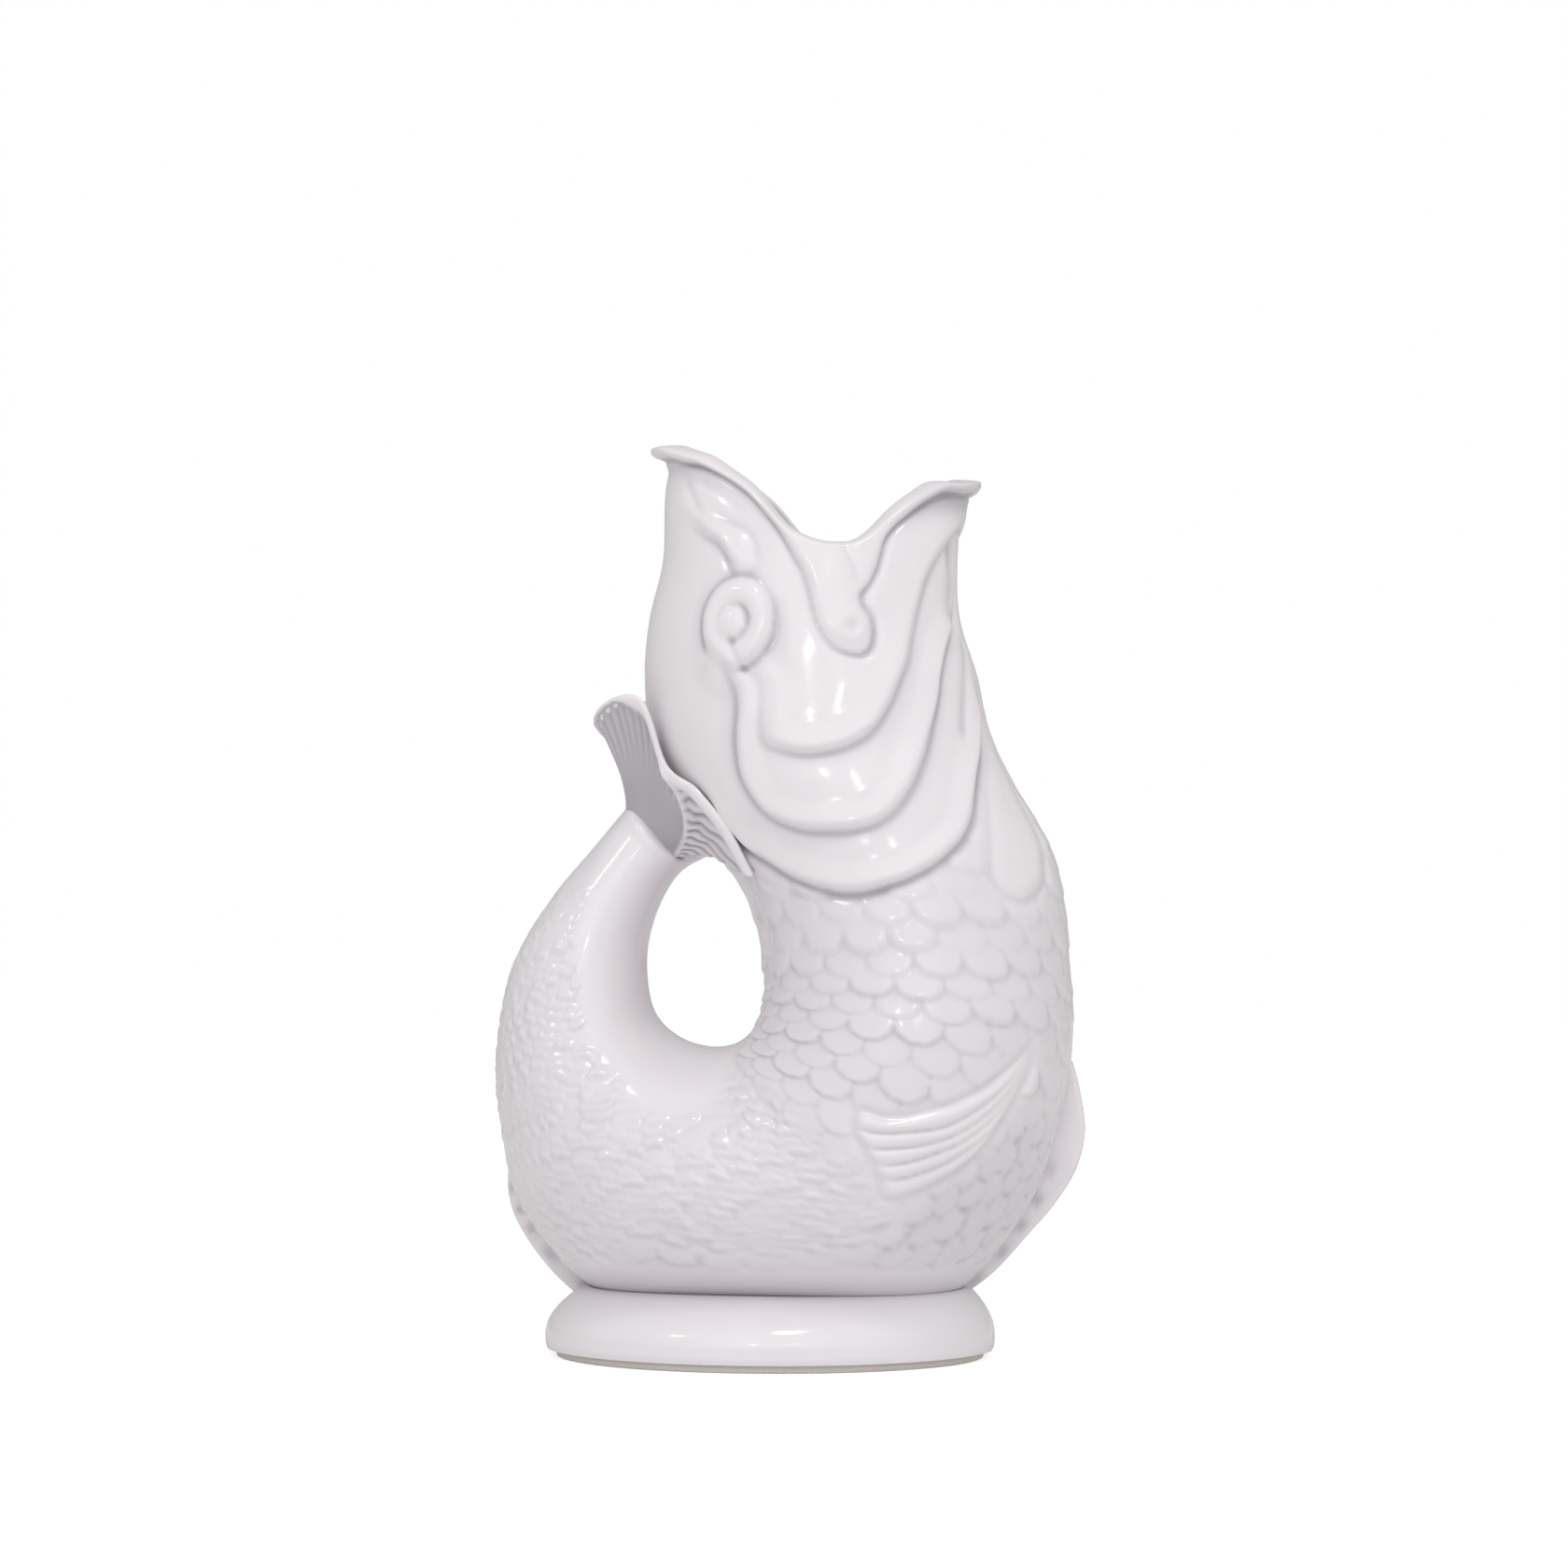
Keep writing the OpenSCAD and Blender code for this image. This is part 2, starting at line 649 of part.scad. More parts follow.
module pectoral_fin_right() {
    color([0.92, 0.91, 0.92])
        skin_plate(pectoral_high_places, pectoral_low_places, pectoral_fin_t);
}

module eye_ring_left() mirror([0, 1, 0]) eye_ring_right();
module eye_pupil_left() mirror([0, 1, 0]) eye_pupil_right();
module brow_left() mirror([0, 1, 0]) brow_right();
module gill_cover_left() mirror([0, 1, 0]) gill_cover_right();
module cheek_band_left() mirror([0, 1, 0]) cheek_band_right();
module cheek_plate_left() mirror([0, 1, 0]) cheek_plate_right();
module throat_lobe_left() mirror([0, 1, 0]) throat_lobe_right();
module pectoral_fin_left() mirror([0, 1, 0]) pectoral_fin_right();

vessel_body();
tail_handle();
pedestal();
foot_ring();
upper_lip();
lower_lip();
tail_fin();
ventral_fin();
anal_fin();
eye_ring_right();
eye_ring_left();
eye_pupil_right();
eye_pupil_left();
brow_right();
brow_left();
gill_cover_right();
gill_cover_left();
cheek_band_right();
cheek_band_left();
cheek_plate_right();
cheek_plate_left();
throat_lobe_right();
throat_lobe_left();
pectoral_fin_right();
pectoral_fin_left();
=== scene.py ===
"""Gurgle jug: a glazed fish on an oval pedestal, dressed over its CAD frame.

The fish is one cast form, so its skin is worked out once, as a grid of stations and angles with a lift
for every relief. Each piece of the jug is then cut from that grid as a closed shell of its own.
A place on the skin is given by its station k and its angle t. Stations run from the mouth, 0, down to the
belly and up the tail. Angles run from the belly's edge, 0, to the back's, 180 degrees. Lengths are in
millimetres and become metres where a mesh is made.
"""
import logging
import math
from collections.abc import Callable
from dataclasses import dataclass, field
from enum import Enum

import bpy
import numpy as np
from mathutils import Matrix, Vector


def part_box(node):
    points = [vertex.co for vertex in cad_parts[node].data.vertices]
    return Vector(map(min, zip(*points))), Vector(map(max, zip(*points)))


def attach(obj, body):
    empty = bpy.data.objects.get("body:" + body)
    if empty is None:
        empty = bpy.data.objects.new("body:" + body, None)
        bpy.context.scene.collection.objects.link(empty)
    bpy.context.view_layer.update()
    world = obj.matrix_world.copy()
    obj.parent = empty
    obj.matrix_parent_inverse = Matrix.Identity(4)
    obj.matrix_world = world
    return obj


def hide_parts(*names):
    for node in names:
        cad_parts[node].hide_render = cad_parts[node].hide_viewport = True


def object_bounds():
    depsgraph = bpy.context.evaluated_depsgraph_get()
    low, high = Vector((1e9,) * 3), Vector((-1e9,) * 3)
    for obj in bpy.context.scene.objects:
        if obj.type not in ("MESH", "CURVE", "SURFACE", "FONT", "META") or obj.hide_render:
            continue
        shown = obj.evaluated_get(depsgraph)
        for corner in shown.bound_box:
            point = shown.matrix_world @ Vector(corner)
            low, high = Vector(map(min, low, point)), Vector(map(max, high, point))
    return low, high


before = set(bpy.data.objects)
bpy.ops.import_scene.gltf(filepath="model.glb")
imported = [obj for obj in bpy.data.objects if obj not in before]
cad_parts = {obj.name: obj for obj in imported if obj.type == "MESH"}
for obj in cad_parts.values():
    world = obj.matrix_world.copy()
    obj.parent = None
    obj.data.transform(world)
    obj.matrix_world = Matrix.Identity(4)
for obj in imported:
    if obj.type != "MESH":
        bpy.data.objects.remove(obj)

LOG = logging.getLogger("gurgle_jug")
CAD_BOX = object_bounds()
MM = 0.001
BODY = "root"
POOL_AND_SHADE = "glaze_pool_and_painted_shade"
WHITE = "#FFFFFF"
# Numbers of the mix node's colour sockets
MIX_FIRST, MIX_SECOND, MIX_RESULT = 6, 7, 2
LIPS = ("upper_lip", "lower_lip")
PAIRED_RELIEFS = (
    "eye_pupil", "eye_ring", "brow", "cheek_plate", "cheek_band", "gill_cover", "throat_lobe", "pectoral_fin",
)

Array = np.ndarray
Tree, Socket = bpy.types.NodeTree, bpy.types.NodeSocket
# The value where a fade is 0, and the value where it is 1
Fade = tuple[float, float]
Row = tuple[float, ...]
Rows = tuple[Row, ...]


class Seen(Enum):
    """How the places of a line are given."""

    FROM_SIDE = "x and z, in shares of the half length and of the height above the pedestal"
    ON_SKIN = "station and angle"


class Side(Enum):
    """The two sides of the fish."""

    RIGHT = "right"
    LEFT = "left"


def ease(x: Array) -> Array:
    """Smooth step from 0 to 1."""
    part = np.clip(x, 0.0, 1.0)
    return part * part * (3.0 - 2.0 * part)


def fade(x: Array, ends: Fade) -> Array:
    """Smooth step from 0 at the first end to 1 at the second."""
    return ease((x - ends[0]) / (ends[1] - ends[0]))


def quarter_round(x: Array) -> Array:
    """Quarter of a circle that rises from 0 to 1 as x does."""
    return np.sqrt(1.0 - (1.0 - np.clip(x, 0.0, 1.0)) ** 2)


def bell(x: Array, middle: Array | float = 0.0, spread: Array | float = 1.0) -> Array:
    """Bell curve, 1 in the middle."""
    return np.exp(-(((x - middle) / spread) ** 2))


def mix(first: Array | float, second: Array | float, share: Array) -> Array:
    """Value on the way from one value to another."""
    return first + (second - first) * share


@dataclass(frozen=True)
class Swell:
    """Bell-shaped swell: its height, its spread and the place of its middle."""

    height: float
    spread: float
    middle: float = 0.0

    def at(self, x: Array) -> Array:
        """Its height at places."""
        return self.height * bell(x, self.middle, self.spread)


def wave(turns: Array) -> Array:
    """Wave that is 0 at whole turns and 1 half way between them."""
    return 0.5 - 0.5 * np.cos(2 * math.pi * turns)


def along(table: Array, k: Array) -> Array:
    """Smooth curve through the rows of a table.

    Args:
        table: rows of values, one for each whole step.
        k: places along the table, whole or part steps.

    Returns:
        The values at each place, in a new last axis.
    """
    table = np.asarray(table, dtype=float)
    padded = np.concatenate([2 * table[:1] - table[1:2], table, 2 * table[-1:] - table[-2:-1]])
    k = np.asarray(k, dtype=float)
    row = np.clip(np.floor(k).astype(int), 0, len(table) - 2)
    part = (k - row)[..., None]
    before, start, end, after = (padded[row + step] for step in range(4))
    bend = 2 * before - 5 * start + 4 * end - after
    twist = 3 * (start - end) + after - before
    return start + part / 2 * (end - before + part * (bend + part * twist))


def unit(vectors: Array) -> Array:
    """Vectors made one long."""
    return vectors / np.maximum(np.linalg.norm(vectors, axis=-1, keepdims=True), 1e-12)


def spread_out(picked: Array, values: Array) -> Array:
    """Set values among zeros.

    Args:
        picked: mask of the places that have a value.
        values: their values, in order.

    Returns:
        A value for every place, 0 where the mask has none.
    """
    full = np.zeros(picked.shape, dtype=values.dtype)
    full[picked] = values
    return full


def softened(values: Array, passes: int) -> Array:
    """Average each value of a grid with its neighbours.

    Args:
        values: the grid.
        passes: how many times.

    Returns:
        The softer values.
    """
    for _ in range(passes):
        padded = np.pad(values, 1, mode="reflect")
        rows = (padded[:-2] + 2 * padded[1:-1] + padded[2:]) / 4
        values = (rows[:, :-2] + 2 * rows[:, 1:-1] + rows[:, 2:]) / 4
    return values


def grid_normals(points: Array, closed: bool) -> Array:
    """Work out the outward normal of a grid of points.

    Args:
        points: grid of places.
        closed: whether the columns close into a ring.

    Returns:
        One unit vector for each point.
    """
    down = np.gradient(points, axis=0)
    if closed:
        across = np.roll(points, -1, axis=1) - np.roll(points, 1, axis=1)
    else:
        across = np.gradient(points, axis=1)
    return unit(np.cross(across, down))


def inside_outline(outline: Rows, places: Array) -> Array:
    """Tell which places lie inside a closed outline.

    Args:
        outline: corners, in order.
        places: places to test.

    Returns:
        True for each place inside.
    """
    found = np.zeros(len(places), dtype=bool)
    x, z = places.T
    for (x0, z0), (x1, z1) in zip(outline, outline[1:] + outline[:1]):
        spans = (z0 > z) != (z1 > z)
        rise = z1 - z0 if z1 != z0 else 1.0
        found ^= spans & (x < x0 + (z - z0) * (x1 - x0) / rise)
    return found


def hex_to_linear(colour: str) -> Row:
    """Turn an sRGB hex colour into the linear values that Blender's shaders take.

    Args:
        colour: six hex digits after a hash sign.

    Returns:
        Linear red, green, blue and an alpha of 1.
    """
    parts = [int(colour[start : start + 2], 16) / 255 for start in (1, 3, 5)]
    linear = [part / 12.92 if part <= 0.04045 else ((part + 0.055) / 1.055) ** 2.4 for part in parts]
    return (*linear, 1.0)


def fresh_tree(owner: bpy.types.Material | bpy.types.World) -> Tree:
    """Turn on the nodes of a material or world, and clear them.

    Args:
        owner: the material or world.

    Returns:
        Its empty node tree.
    """
    owner.use_nodes = True
    owner.node_tree.nodes.clear()
    return owner.node_tree


def add_node(tree: Tree, kind: str, inputs: dict | None = None, **settings: str) -> bpy.types.Node:
    """Add a node with its settings, and set or link its inputs.

    Args:
        tree: the material's or world's node tree.
        kind: Blender's name for the node.
        inputs: value or output socket for each input, by name or number.
        settings: the node's own properties.

    Returns:
        The new node.
    """
    node = tree.nodes.new(kind)
    for name, value in settings.items():
        setattr(node, name, value)
    for key, value in (inputs or {}).items():
        if isinstance(value, Socket):
            tree.links.new(value, node.inputs[key])
        else:
            node.inputs[key].default_value = value
    return node


@dataclass(frozen=True)
class WhiteGlaze:
    """Off-white tin glaze on slip-cast earthenware, dipped and fired glossy.

    It gives the eye sharp small highlights on a milky body. The melted glaze runs off the edges and gathers
    in the creases, where it is greyer, and the same grey is painted in as shade in creases, hollows and
    recesses. Its skin is never quite flat.
    """

    name: str = "white_tin_glaze_earthenware"
    colour: str = "#EAE5E8"
    cloud_colour: str = "#E4DFE2"
    # Grey of pooled glaze, also painted in as shade in creases, hollows and recesses
    pooled_and_shaded_colour: str = "#ACA8AF"
    roughness: float = 0.13
    roughness_sway: float = 0.03
    ior: float = 1.52
    cloud_mm: float = 26.0
    cloud_detail: float = 2.0
    ripple_mm: float = 5.0
    ripple_detail: float = 1.0
    ripple_depth_mm: float = 0.05
    ripple_strength: float = 0.5

    def build(self) -> bpy.types.Material:
        """Make the material.

        Returns:
            The glaze, with its pooling and painted shade taken from the mesh's values.
        """
        material = bpy.data.materials.new(self.name)
        tree = fresh_tree(material)
        place = add_node(tree, "ShaderNodeTexCoord").outputs["Object"]
        clouds = {"Vector": place, "Scale": 1 / (self.cloud_mm * MM), "Detail": self.cloud_detail}
        cloud = add_node(tree, "ShaderNodeTexNoise", clouds).outputs["Fac"]
        ripples = {"Vector": place, "Scale": 1 / (self.ripple_mm * MM), "Detail": self.ripple_detail}
        ripple = add_node(tree, "ShaderNodeTexNoise", ripples).outputs["Fac"]
        relief = {"Height": ripple, "Distance": self.ripple_depth_mm * MM, "Strength": self.ripple_strength}
        bump = add_node(tree, "ShaderNodeBump", relief)
        # Greyer where the mesh's value marks pooled glaze or painted shade
        pool = add_node(tree, "ShaderNodeAttribute", attribute_name=POOL_AND_SHADE).outputs["Fac"]
        colour = hex_to_linear(self.colour)
        for share, other in ((cloud, self.cloud_colour), (pool, self.pooled_and_shaded_colour)):
            tones = {"Factor": share, MIX_FIRST: colour, MIX_SECOND: hex_to_linear(other)}
            colour = add_node(tree, "ShaderNodeMix", tones, data_type="RGBA").outputs[MIX_RESULT]
        low, high = self.roughness - self.roughness_sway, self.roughness + self.roughness_sway
        shine = add_node(tree, "ShaderNodeMapRange", {"Value": cloud, "To Min": low, "To Max": high})
        surface = {
            "Base Color": colour,
            "Roughness": shine.outputs["Result"],
            "IOR": self.ior,
            "Normal": bump.outputs["Normal"],
        }
        shader = add_node(tree, "ShaderNodeBsdfPrincipled", surface)
        add_node(tree, "ShaderNodeOutputMaterial", {"Surface": shader.outputs["BSDF"]})
        return material


@dataclass(frozen=True)
class BareClay:
    """Buff earthenware, wiped clean of glaze before firing where the jug stands.

    It gives the eye a dry, matt, warm ring with a fine grit.
    """

    name: str = "unglazed_buff_earthenware"
    colour: str = "#E9E5DD"
    grit_colour: str = "#DCD5C9"
    roughness: float = 0.85
    grit_mm: float = 0.8
    grit_detail: float = 3.0
    grit_depth_mm: float = 0.1
    grit_strength: float = 0.6

    def build(self) -> bpy.types.Material:
        """Make the material.

        Returns:
            The bare clay.
        """
        material = bpy.data.materials.new(self.name)
        tree = fresh_tree(material)
        place = add_node(tree, "ShaderNodeTexCoord").outputs["Object"]
        grains = {"Vector": place, "Scale": 1 / (self.grit_mm * MM), "Detail": self.grit_detail}
        grit = add_node(tree, "ShaderNodeTexNoise", grains).outputs["Fac"]
        relief = {"Height": grit, "Distance": self.grit_depth_mm * MM, "Strength": self.grit_strength}
        bump = add_node(tree, "ShaderNodeBump", relief)
        clean, gritty = hex_to_linear(self.colour), hex_to_linear(self.grit_colour)
        tones = {"Factor": grit, MIX_FIRST: clean, MIX_SECOND: gritty}
        colour = add_node(tree, "ShaderNodeMix", tones, data_type="RGBA")
        surface = {
            "Base Color": colour.outputs[MIX_RESULT],
            "Roughness": self.roughness,
            "Normal": bump.outputs["Normal"],
        }
        shader = add_node(tree, "ShaderNodeBsdfPrincipled", surface)
        add_node(tree, "ShaderNodeOutputMaterial", {"Surface": shader.outputs["BSDF"]})
        return material


@dataclass(frozen=True)
class StudioPaper:
    """White background paper, matt, lit to white where no shadow falls on it."""

    name: str = "white_studio_paper"
    colour: str = "#F4F4F4"
    roughness: float = 0.9
    glow_near: float = 0.55
    glow_far: float = 1.0
    near_m: float = 0.12
    far_m: float = 0.7

    def build(self) -> bpy.types.Material:
        """Make the material.

        Returns:
            The paper, which the camera sees brighter than its lit colour, the more so far from the jug.
        """
        material = bpy.data.materials.new(self.name)
        tree = fresh_tree(material)
        camera_ray = add_node(tree, "ShaderNodeLightPath").outputs["Is Camera Ray"]
        place = add_node(tree, "ShaderNodeTexCoord").outputs["Object"]
        away = add_node(tree, "ShaderNodeVectorMath", {0: place}, operation="LENGTH")
        fall = {
            "Value": away.outputs["Value"],
            "From Min": self.near_m,
            "From Max": self.far_m,
            "To Min": self.glow_near,
            "To Max": self.glow_far,
        }
        level = add_node(tree, "ShaderNodeMapRange", fall).outputs["Result"]
        glow = add_node(tree, "ShaderNodeMath", {0: camera_ray, 1: level}, operation="MULTIPLY")
        surface = {
            "Base Color": hex_to_linear(self.colour),
            "Roughness": self.roughness,
            "Emission Color": hex_to_linear(WHITE),
            "Emission Strength": glow.outputs["Value"],
        }
        shader = add_node(tree, "ShaderNodeBsdfPrincipled", surface)
        add_node(tree, "ShaderNodeOutputMaterial", {"Surface": shader.outputs["BSDF"]})
        return material


def cell_corners(ring: Array, spot: Array, around: int) -> Array:
    """Corner numbers of cells in a stack of closed rings, from their ring and their place on it."""
    low, high, after = ring * around, (ring + 1) * around, (spot + 1) % around
    return np.stack([low + spot, low + after, high + after, high + spot], axis=-1)


def ring_quads(rings: int, around: int) -> Array:
    """Corner numbers of all cells in a stack of closed rings."""
    ring, spot = np.meshgrid(np.arange(rings - 1), np.arange(around), indexing="ij")
    return cell_corners(ring, spot, around).reshape(-1, 4)


def bridge(first: int, second: int, around: int) -> Array:
    """Corner numbers of the faces between two rings, from the numbers of their first points."""
    spot, after = np.arange(around), np.roll(np.arange(around), -1)
    return np.stack([first + spot, first + after, second + after, second + spot], axis=1)


@dataclass
class Shell:
    """Points and faces of one closed piece, in millimetres."""

    points: Array
    quads: Array
    tris: Array = field(default_factory=lambda: np.zeros((0, 3), dtype=int))
    normals: Array | None = None
    # Share of pooled glaze and painted shade at each point
    pool: Array | None = None

    @classmethod
    def from_rings(cls, rings: Array) -> "Shell":
        """Join a stack of rings, the last one to the first.

        Args:
            rings: grid of places, a ring to a row.

        Returns:
            The shell, like a tyre.
        """
        count, around = rings.shape[:2]
        quads = np.concatenate([ring_quads(count, around), bridge((count - 1) * around, 0, around)])
        return cls(rings.reshape(-1, 3), quads[:, ::-1])

    @classmethod
    def from_faces(cls, front: Array, back: Array, pools_and_shades: tuple[Array, Array]) -> "Shell":
        """Join two grids that lie back to back, as a blade.

        Args:
            front: grid of places of one face.
            back: grid of places of the other face.
            pools_and_shades: glaze pooling and painted shade of both.

        Returns:
            The shell.
        """
        rings = np.concatenate([front, back[:, ::-1]], axis=1)
        columns, around = rings.shape[:2]
        quads = [ring_quads(columns, around)]
        spot = np.arange(front.shape[1] - 1)
        for column, turn in ((0, 1), (columns - 1, -1)):
            low = column * around
            high = low + around - 1
            end = np.stack([low + spot + 1, low + spot, high - spot, high - 1 - spot], axis=1)
            quads.append(end[:, ::turn])
        pool = np.concatenate([pools_and_shades[0], pools_and_shades[1][:, ::-1]], axis=1)
        return cls(rings.reshape(-1, 3), np.concatenate(quads), pool=pool.reshape(-1))

    @classmethod
    def hollow(cls, outer: Array, inner: Array, tip: Array | None = None) -> "Shell":
        """Join an outer and an inner stack of rings.

        Args:
            outer: grid of the outer face.
            inner: grid of the inner face, which starts near the outer face's first ring.
            tip: middle of the outer face's last ring where it is closed, or none where the two faces join.

        Returns:
            The shell.
        """
        around, count = outer.shape[1], outer.shape[0] * outer.shape[1]
        points = np.concatenate([outer.reshape(-1, 3), inner.reshape(-1, 3)])
        end, inner_end = count - around, len(points) - around
        faces = [ring_quads(len(outer), around), ring_quads(len(inner), around)[:, ::-1] + count]
        faces.append(bridge(count, 0, around))
        if tip is None:
            faces.append(bridge(end, inner_end, around))
            return cls(points, np.concatenate(faces))
        spot, after = np.arange(around), np.roll(np.arange(around), -1)
        top, bottom = (np.full(around, len(points) + added) for added in range(2))
        caps = [(end + spot, end + after, top), (inner_end + after, inner_end + spot, bottom)]
        tris = np.concatenate([np.stack(cap, axis=1) for cap in caps])
        return cls(np.concatenate([points, [tip, inner[-1].mean(axis=0)]]), np.concatenate(faces), tris)

    def dress_outside(self, normals: Array, pool: Array) -> "Shell":
        """Give the outer face of a hollow shell the whole fish's normals, glaze pooling and painted shade.

        Args:
            normals: grid of its normals.
            pool: grid of its glaze pooling and painted shade.

        Returns:
            The shell itself.
        """
        count = pool.size
        self.normals = self.face_normals()
        self.normals[:count] = normals.reshape(-1, 3)
        self.pool = np.zeros(len(self.points))
        self.pool[:count] = pool.reshape(-1)
        return self

    def face_normals(self) -> Array:
        """Work out the normal at each point from the faces round it.

        Returns:
            One unit vector for each point.
        """
        total = np.zeros_like(self.points)
        for faces in (self.quads, self.tris):
            corner = self.points[faces]
            across = np.cross(corner[:, 2] - corner[:, 0], corner[:, -1] - corner[:, 1])
            for touched in faces.T:
                np.add.at(total, touched, across)
        return unit(total)

    def piece(self, name: str, slot: str, material: bpy.types.Material, node: str) -> None:
        """Make the Blender object for this piece, dress it and tie it to the frame.

        Args:
            name: name of the piece.
            slot: the record's material slot; not used.
            material: the finish.
            node: CAD node that the piece stands for.
        """
        mesh = bpy.data.meshes.new(name)
        faces = self.quads.tolist() + self.tris.tolist()
        mesh.from_pydata((self.points * MM).tolist(), [], faces)
        mesh.validate()
        mesh.shade_smooth()
        if self.normals is not None:
            mesh.normals_split_custom_set_from_vertices(self.normals.astype(np.float32))
        pool = np.zeros(len(self.points)) if self.pool is None else self.pool
        # Grey of pooled glaze and painted shade, read by the glaze
        mesh.attributes.new(POOL_AND_SHADE, "FLOAT", "POINT").data.foreach_set("value", pool.astype(np.float32))
        mesh.materials.append(material)
        made = bpy.data.objects.new(name, mesh)
        bpy.context.scene.collection.objects.link(made)
        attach(made, BODY)
        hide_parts(node)
        LOG.info("%s: %d faces, stands for %s", name, len(faces), node)


@dataclass
class Spots:
    """Places on the plain form of the fish's right side, with the form's normals there."""

    k: Array
    t: Array
    points: Array
    outward: Array

    @property
    def on_skin(self) -> Array:
        """Rows of station and angle."""
        return np.stack([self.k, self.t], axis=1)

    def take(self, picked: Array) -> "Spots":
        """Places that a mask picks."""
        return Spots(self.k[picked], self.t[picked], self.points[picked], self.outward[picked])


@dataclass
class FishForm:
    """Plain form of the fish: cross-sections from the mouth down to the belly and up the tail.

    Each section is an oval between a point on the back and a point on the belly.
    """

    jug_h: float
    pedestal_h: float
    length: float = 153.0
    width: float = 100.0
    centre_x: float = -2.4
    wall: float = 4.5
    slip_gap: float = 0.15
    lower_lip_drop: float = 9.0
    corner_drop: float = 27.5
    rim_clear: float = 0.03
    # Angles from the tip of each jaw to the mouth's corner
    upper_jaw: Fade = (148.0, 76.0)
    lower_jaw: Fade = (28.0, 72.0)
    head_step_share: float = 0.07
    # Farthest a place seen from the side lies towards the back or the belly, as a share of the half section
    side_limit: float = 0.999
    # Soft swells along the mouth's rim, over angles
    rim_swells: tuple[Swell, ...] = (
        Swell(2.8, 13.0, 107.0), Swell(2.0, 10.0, 54.0), Swell(-1.8, 18.0, 24.0), Swell(-1.7, 11.0, 143.0),
        Swell(-1.5, 11.0, 98.0),
    )
    # Back x and z, belly x and z, and half width, in shares of the half length, the height above the
    # pedestal and the half width
    station_shares: Rows = (
        (-0.406, 1.00, 0.631, 1.00, 0.44),
        (-0.41, 0.93, 0.618, 0.93, 0.52),
        (-0.416, 0.86, 0.603, 0.86, 0.59),
        (-0.462, 0.79, 0.611, 0.79, 0.648),
        (-0.478, 0.72, 0.671, 0.72, 0.692),
        (-0.454, 0.65, 0.716, 0.65, 0.734),
        (-0.363, 0.58, 0.814, 0.58, 0.78),
        (-0.226, 0.51, 0.925, 0.51, 0.826),
        (-0.105, 0.44, 0.971, 0.44, 0.876),
        (-0.063, 0.37, 0.986, 0.37, 0.932),
        (-0.062, 0.33, 0.998, 0.298, 0.976),
        (-0.095, 0.298, 0.961, 0.2, 1.0),
        (-0.147, 0.28, 0.84, 0.078, 1.0),
        (-0.212, 0.273, 0.52, -0.039, 0.98),
        (-0.278, 0.274, -0.082, -0.057, 0.94),
        (-0.35, 0.282, -0.605, -0.028, 0.88),
        (-0.415, 0.298, -0.892, 0.069, 0.77),
        (-0.458, 0.321, -0.984, 0.179, 0.63),
        (-0.476, 0.36, -1.0, 0.271, 0.51),
        (-0.469, 0.401, -0.942, 0.372, 0.41),
        (-0.428, 0.446, -0.807, 0.452, 0.33),
        (-0.36, 0.483, -0.663, 0.512, 0.27),
        (-0.271, 0.502, -0.526, 0.569, 0.226),
        (-0.18, 0.516, -0.395, 0.619, 0.2),
    )
    stations: Array = field(init=False)

    def __post_init__(self) -> None:
        """Scale the table of sections to the jug."""
        half, rise = self.length / 2, self.fish_h
        size = np.array([half, rise, half, rise, self.width / 2])
        place = np.array([self.centre_x, self.pedestal_h, self.centre_x, self.pedestal_h, 0.0])
        self.stations = place + np.array(self.station_shares) * size

    @property
    def fish_h(self) -> float:
        """Height of the fish above the pedestal's seat."""
        return self.jug_h - self.pedestal_h

    @property
    def head_step(self) -> float:
        """Drop from one level station to the next."""
        return self.head_step_share * self.fish_h

    def section(self, k: Array) -> Array:
        """Back x and z, belly x and z, and half width of the section at a station."""
        return np.moveaxis(along(self.stations, k), -1, 0)

    def skin(self, k: Array, t: Array, off: Array | float = 0.0) -> Array:
        """Point of the right side's surface.

        Args:
            k: station.
            t: angle in degrees.
            off: how far the point is raised.

        Returns:
            Places, in millimetres.
        """
        back_x, back_z, front_x, front_z, half_w = self.section(k)
        zero = np.zeros_like(back_x)
        back = np.stack([back_x, zero, back_z], axis=-1)
        front = np.stack([front_x, zero, front_z], axis=-1)
        half = np.linalg.norm(front - back, axis=-1) / 2
        turn = np.radians(t)
        reach = ((half + off) * np.cos(turn) / (2 * half))[..., None]
        side = np.stack([zero, -(half_w + off) * np.sin(turn), zero], axis=-1)
        return (back + front) / 2 + (front - back) * reach + side

    def side_shares(self, points: Array) -> Array:
        """Places as seen from the side, in rows of x and z shares."""
        x = (points[:, 0] - self.centre_x) / (self.length / 2)
        return np.stack([x, (points[:, 2] - self.pedestal_h) / self.fish_h], axis=1)

    def side_place(self, places: Rows) -> Array:
        """Station and angle of places on the head that are seen from the side.

        Args:
            places: rows of x and z shares.

        Returns:
            Rows of station and angle.
        """
        across, high = np.array(places, dtype=float).T
        k = (1 - high) / self.head_step_share
        back_x, _, front_x, _, _ = self.section(k)
        x = self.centre_x + across * self.length / 2
        share = (x - (back_x + front_x) / 2) / ((front_x - back_x) / 2)
        limited = np.clip(share, -self.side_limit, self.side_limit)
        return np.stack([k, np.degrees(np.arccos(limited))], axis=1)

    def from_spot(self, place: Row, points: Array) -> Array:
        """Distance of points from a spot on the head, given by its x and z shares."""
        k, t = self.side_place((place,))[0]
        return np.linalg.norm(points - self.skin(np.array(k), np.array(t)), axis=1)

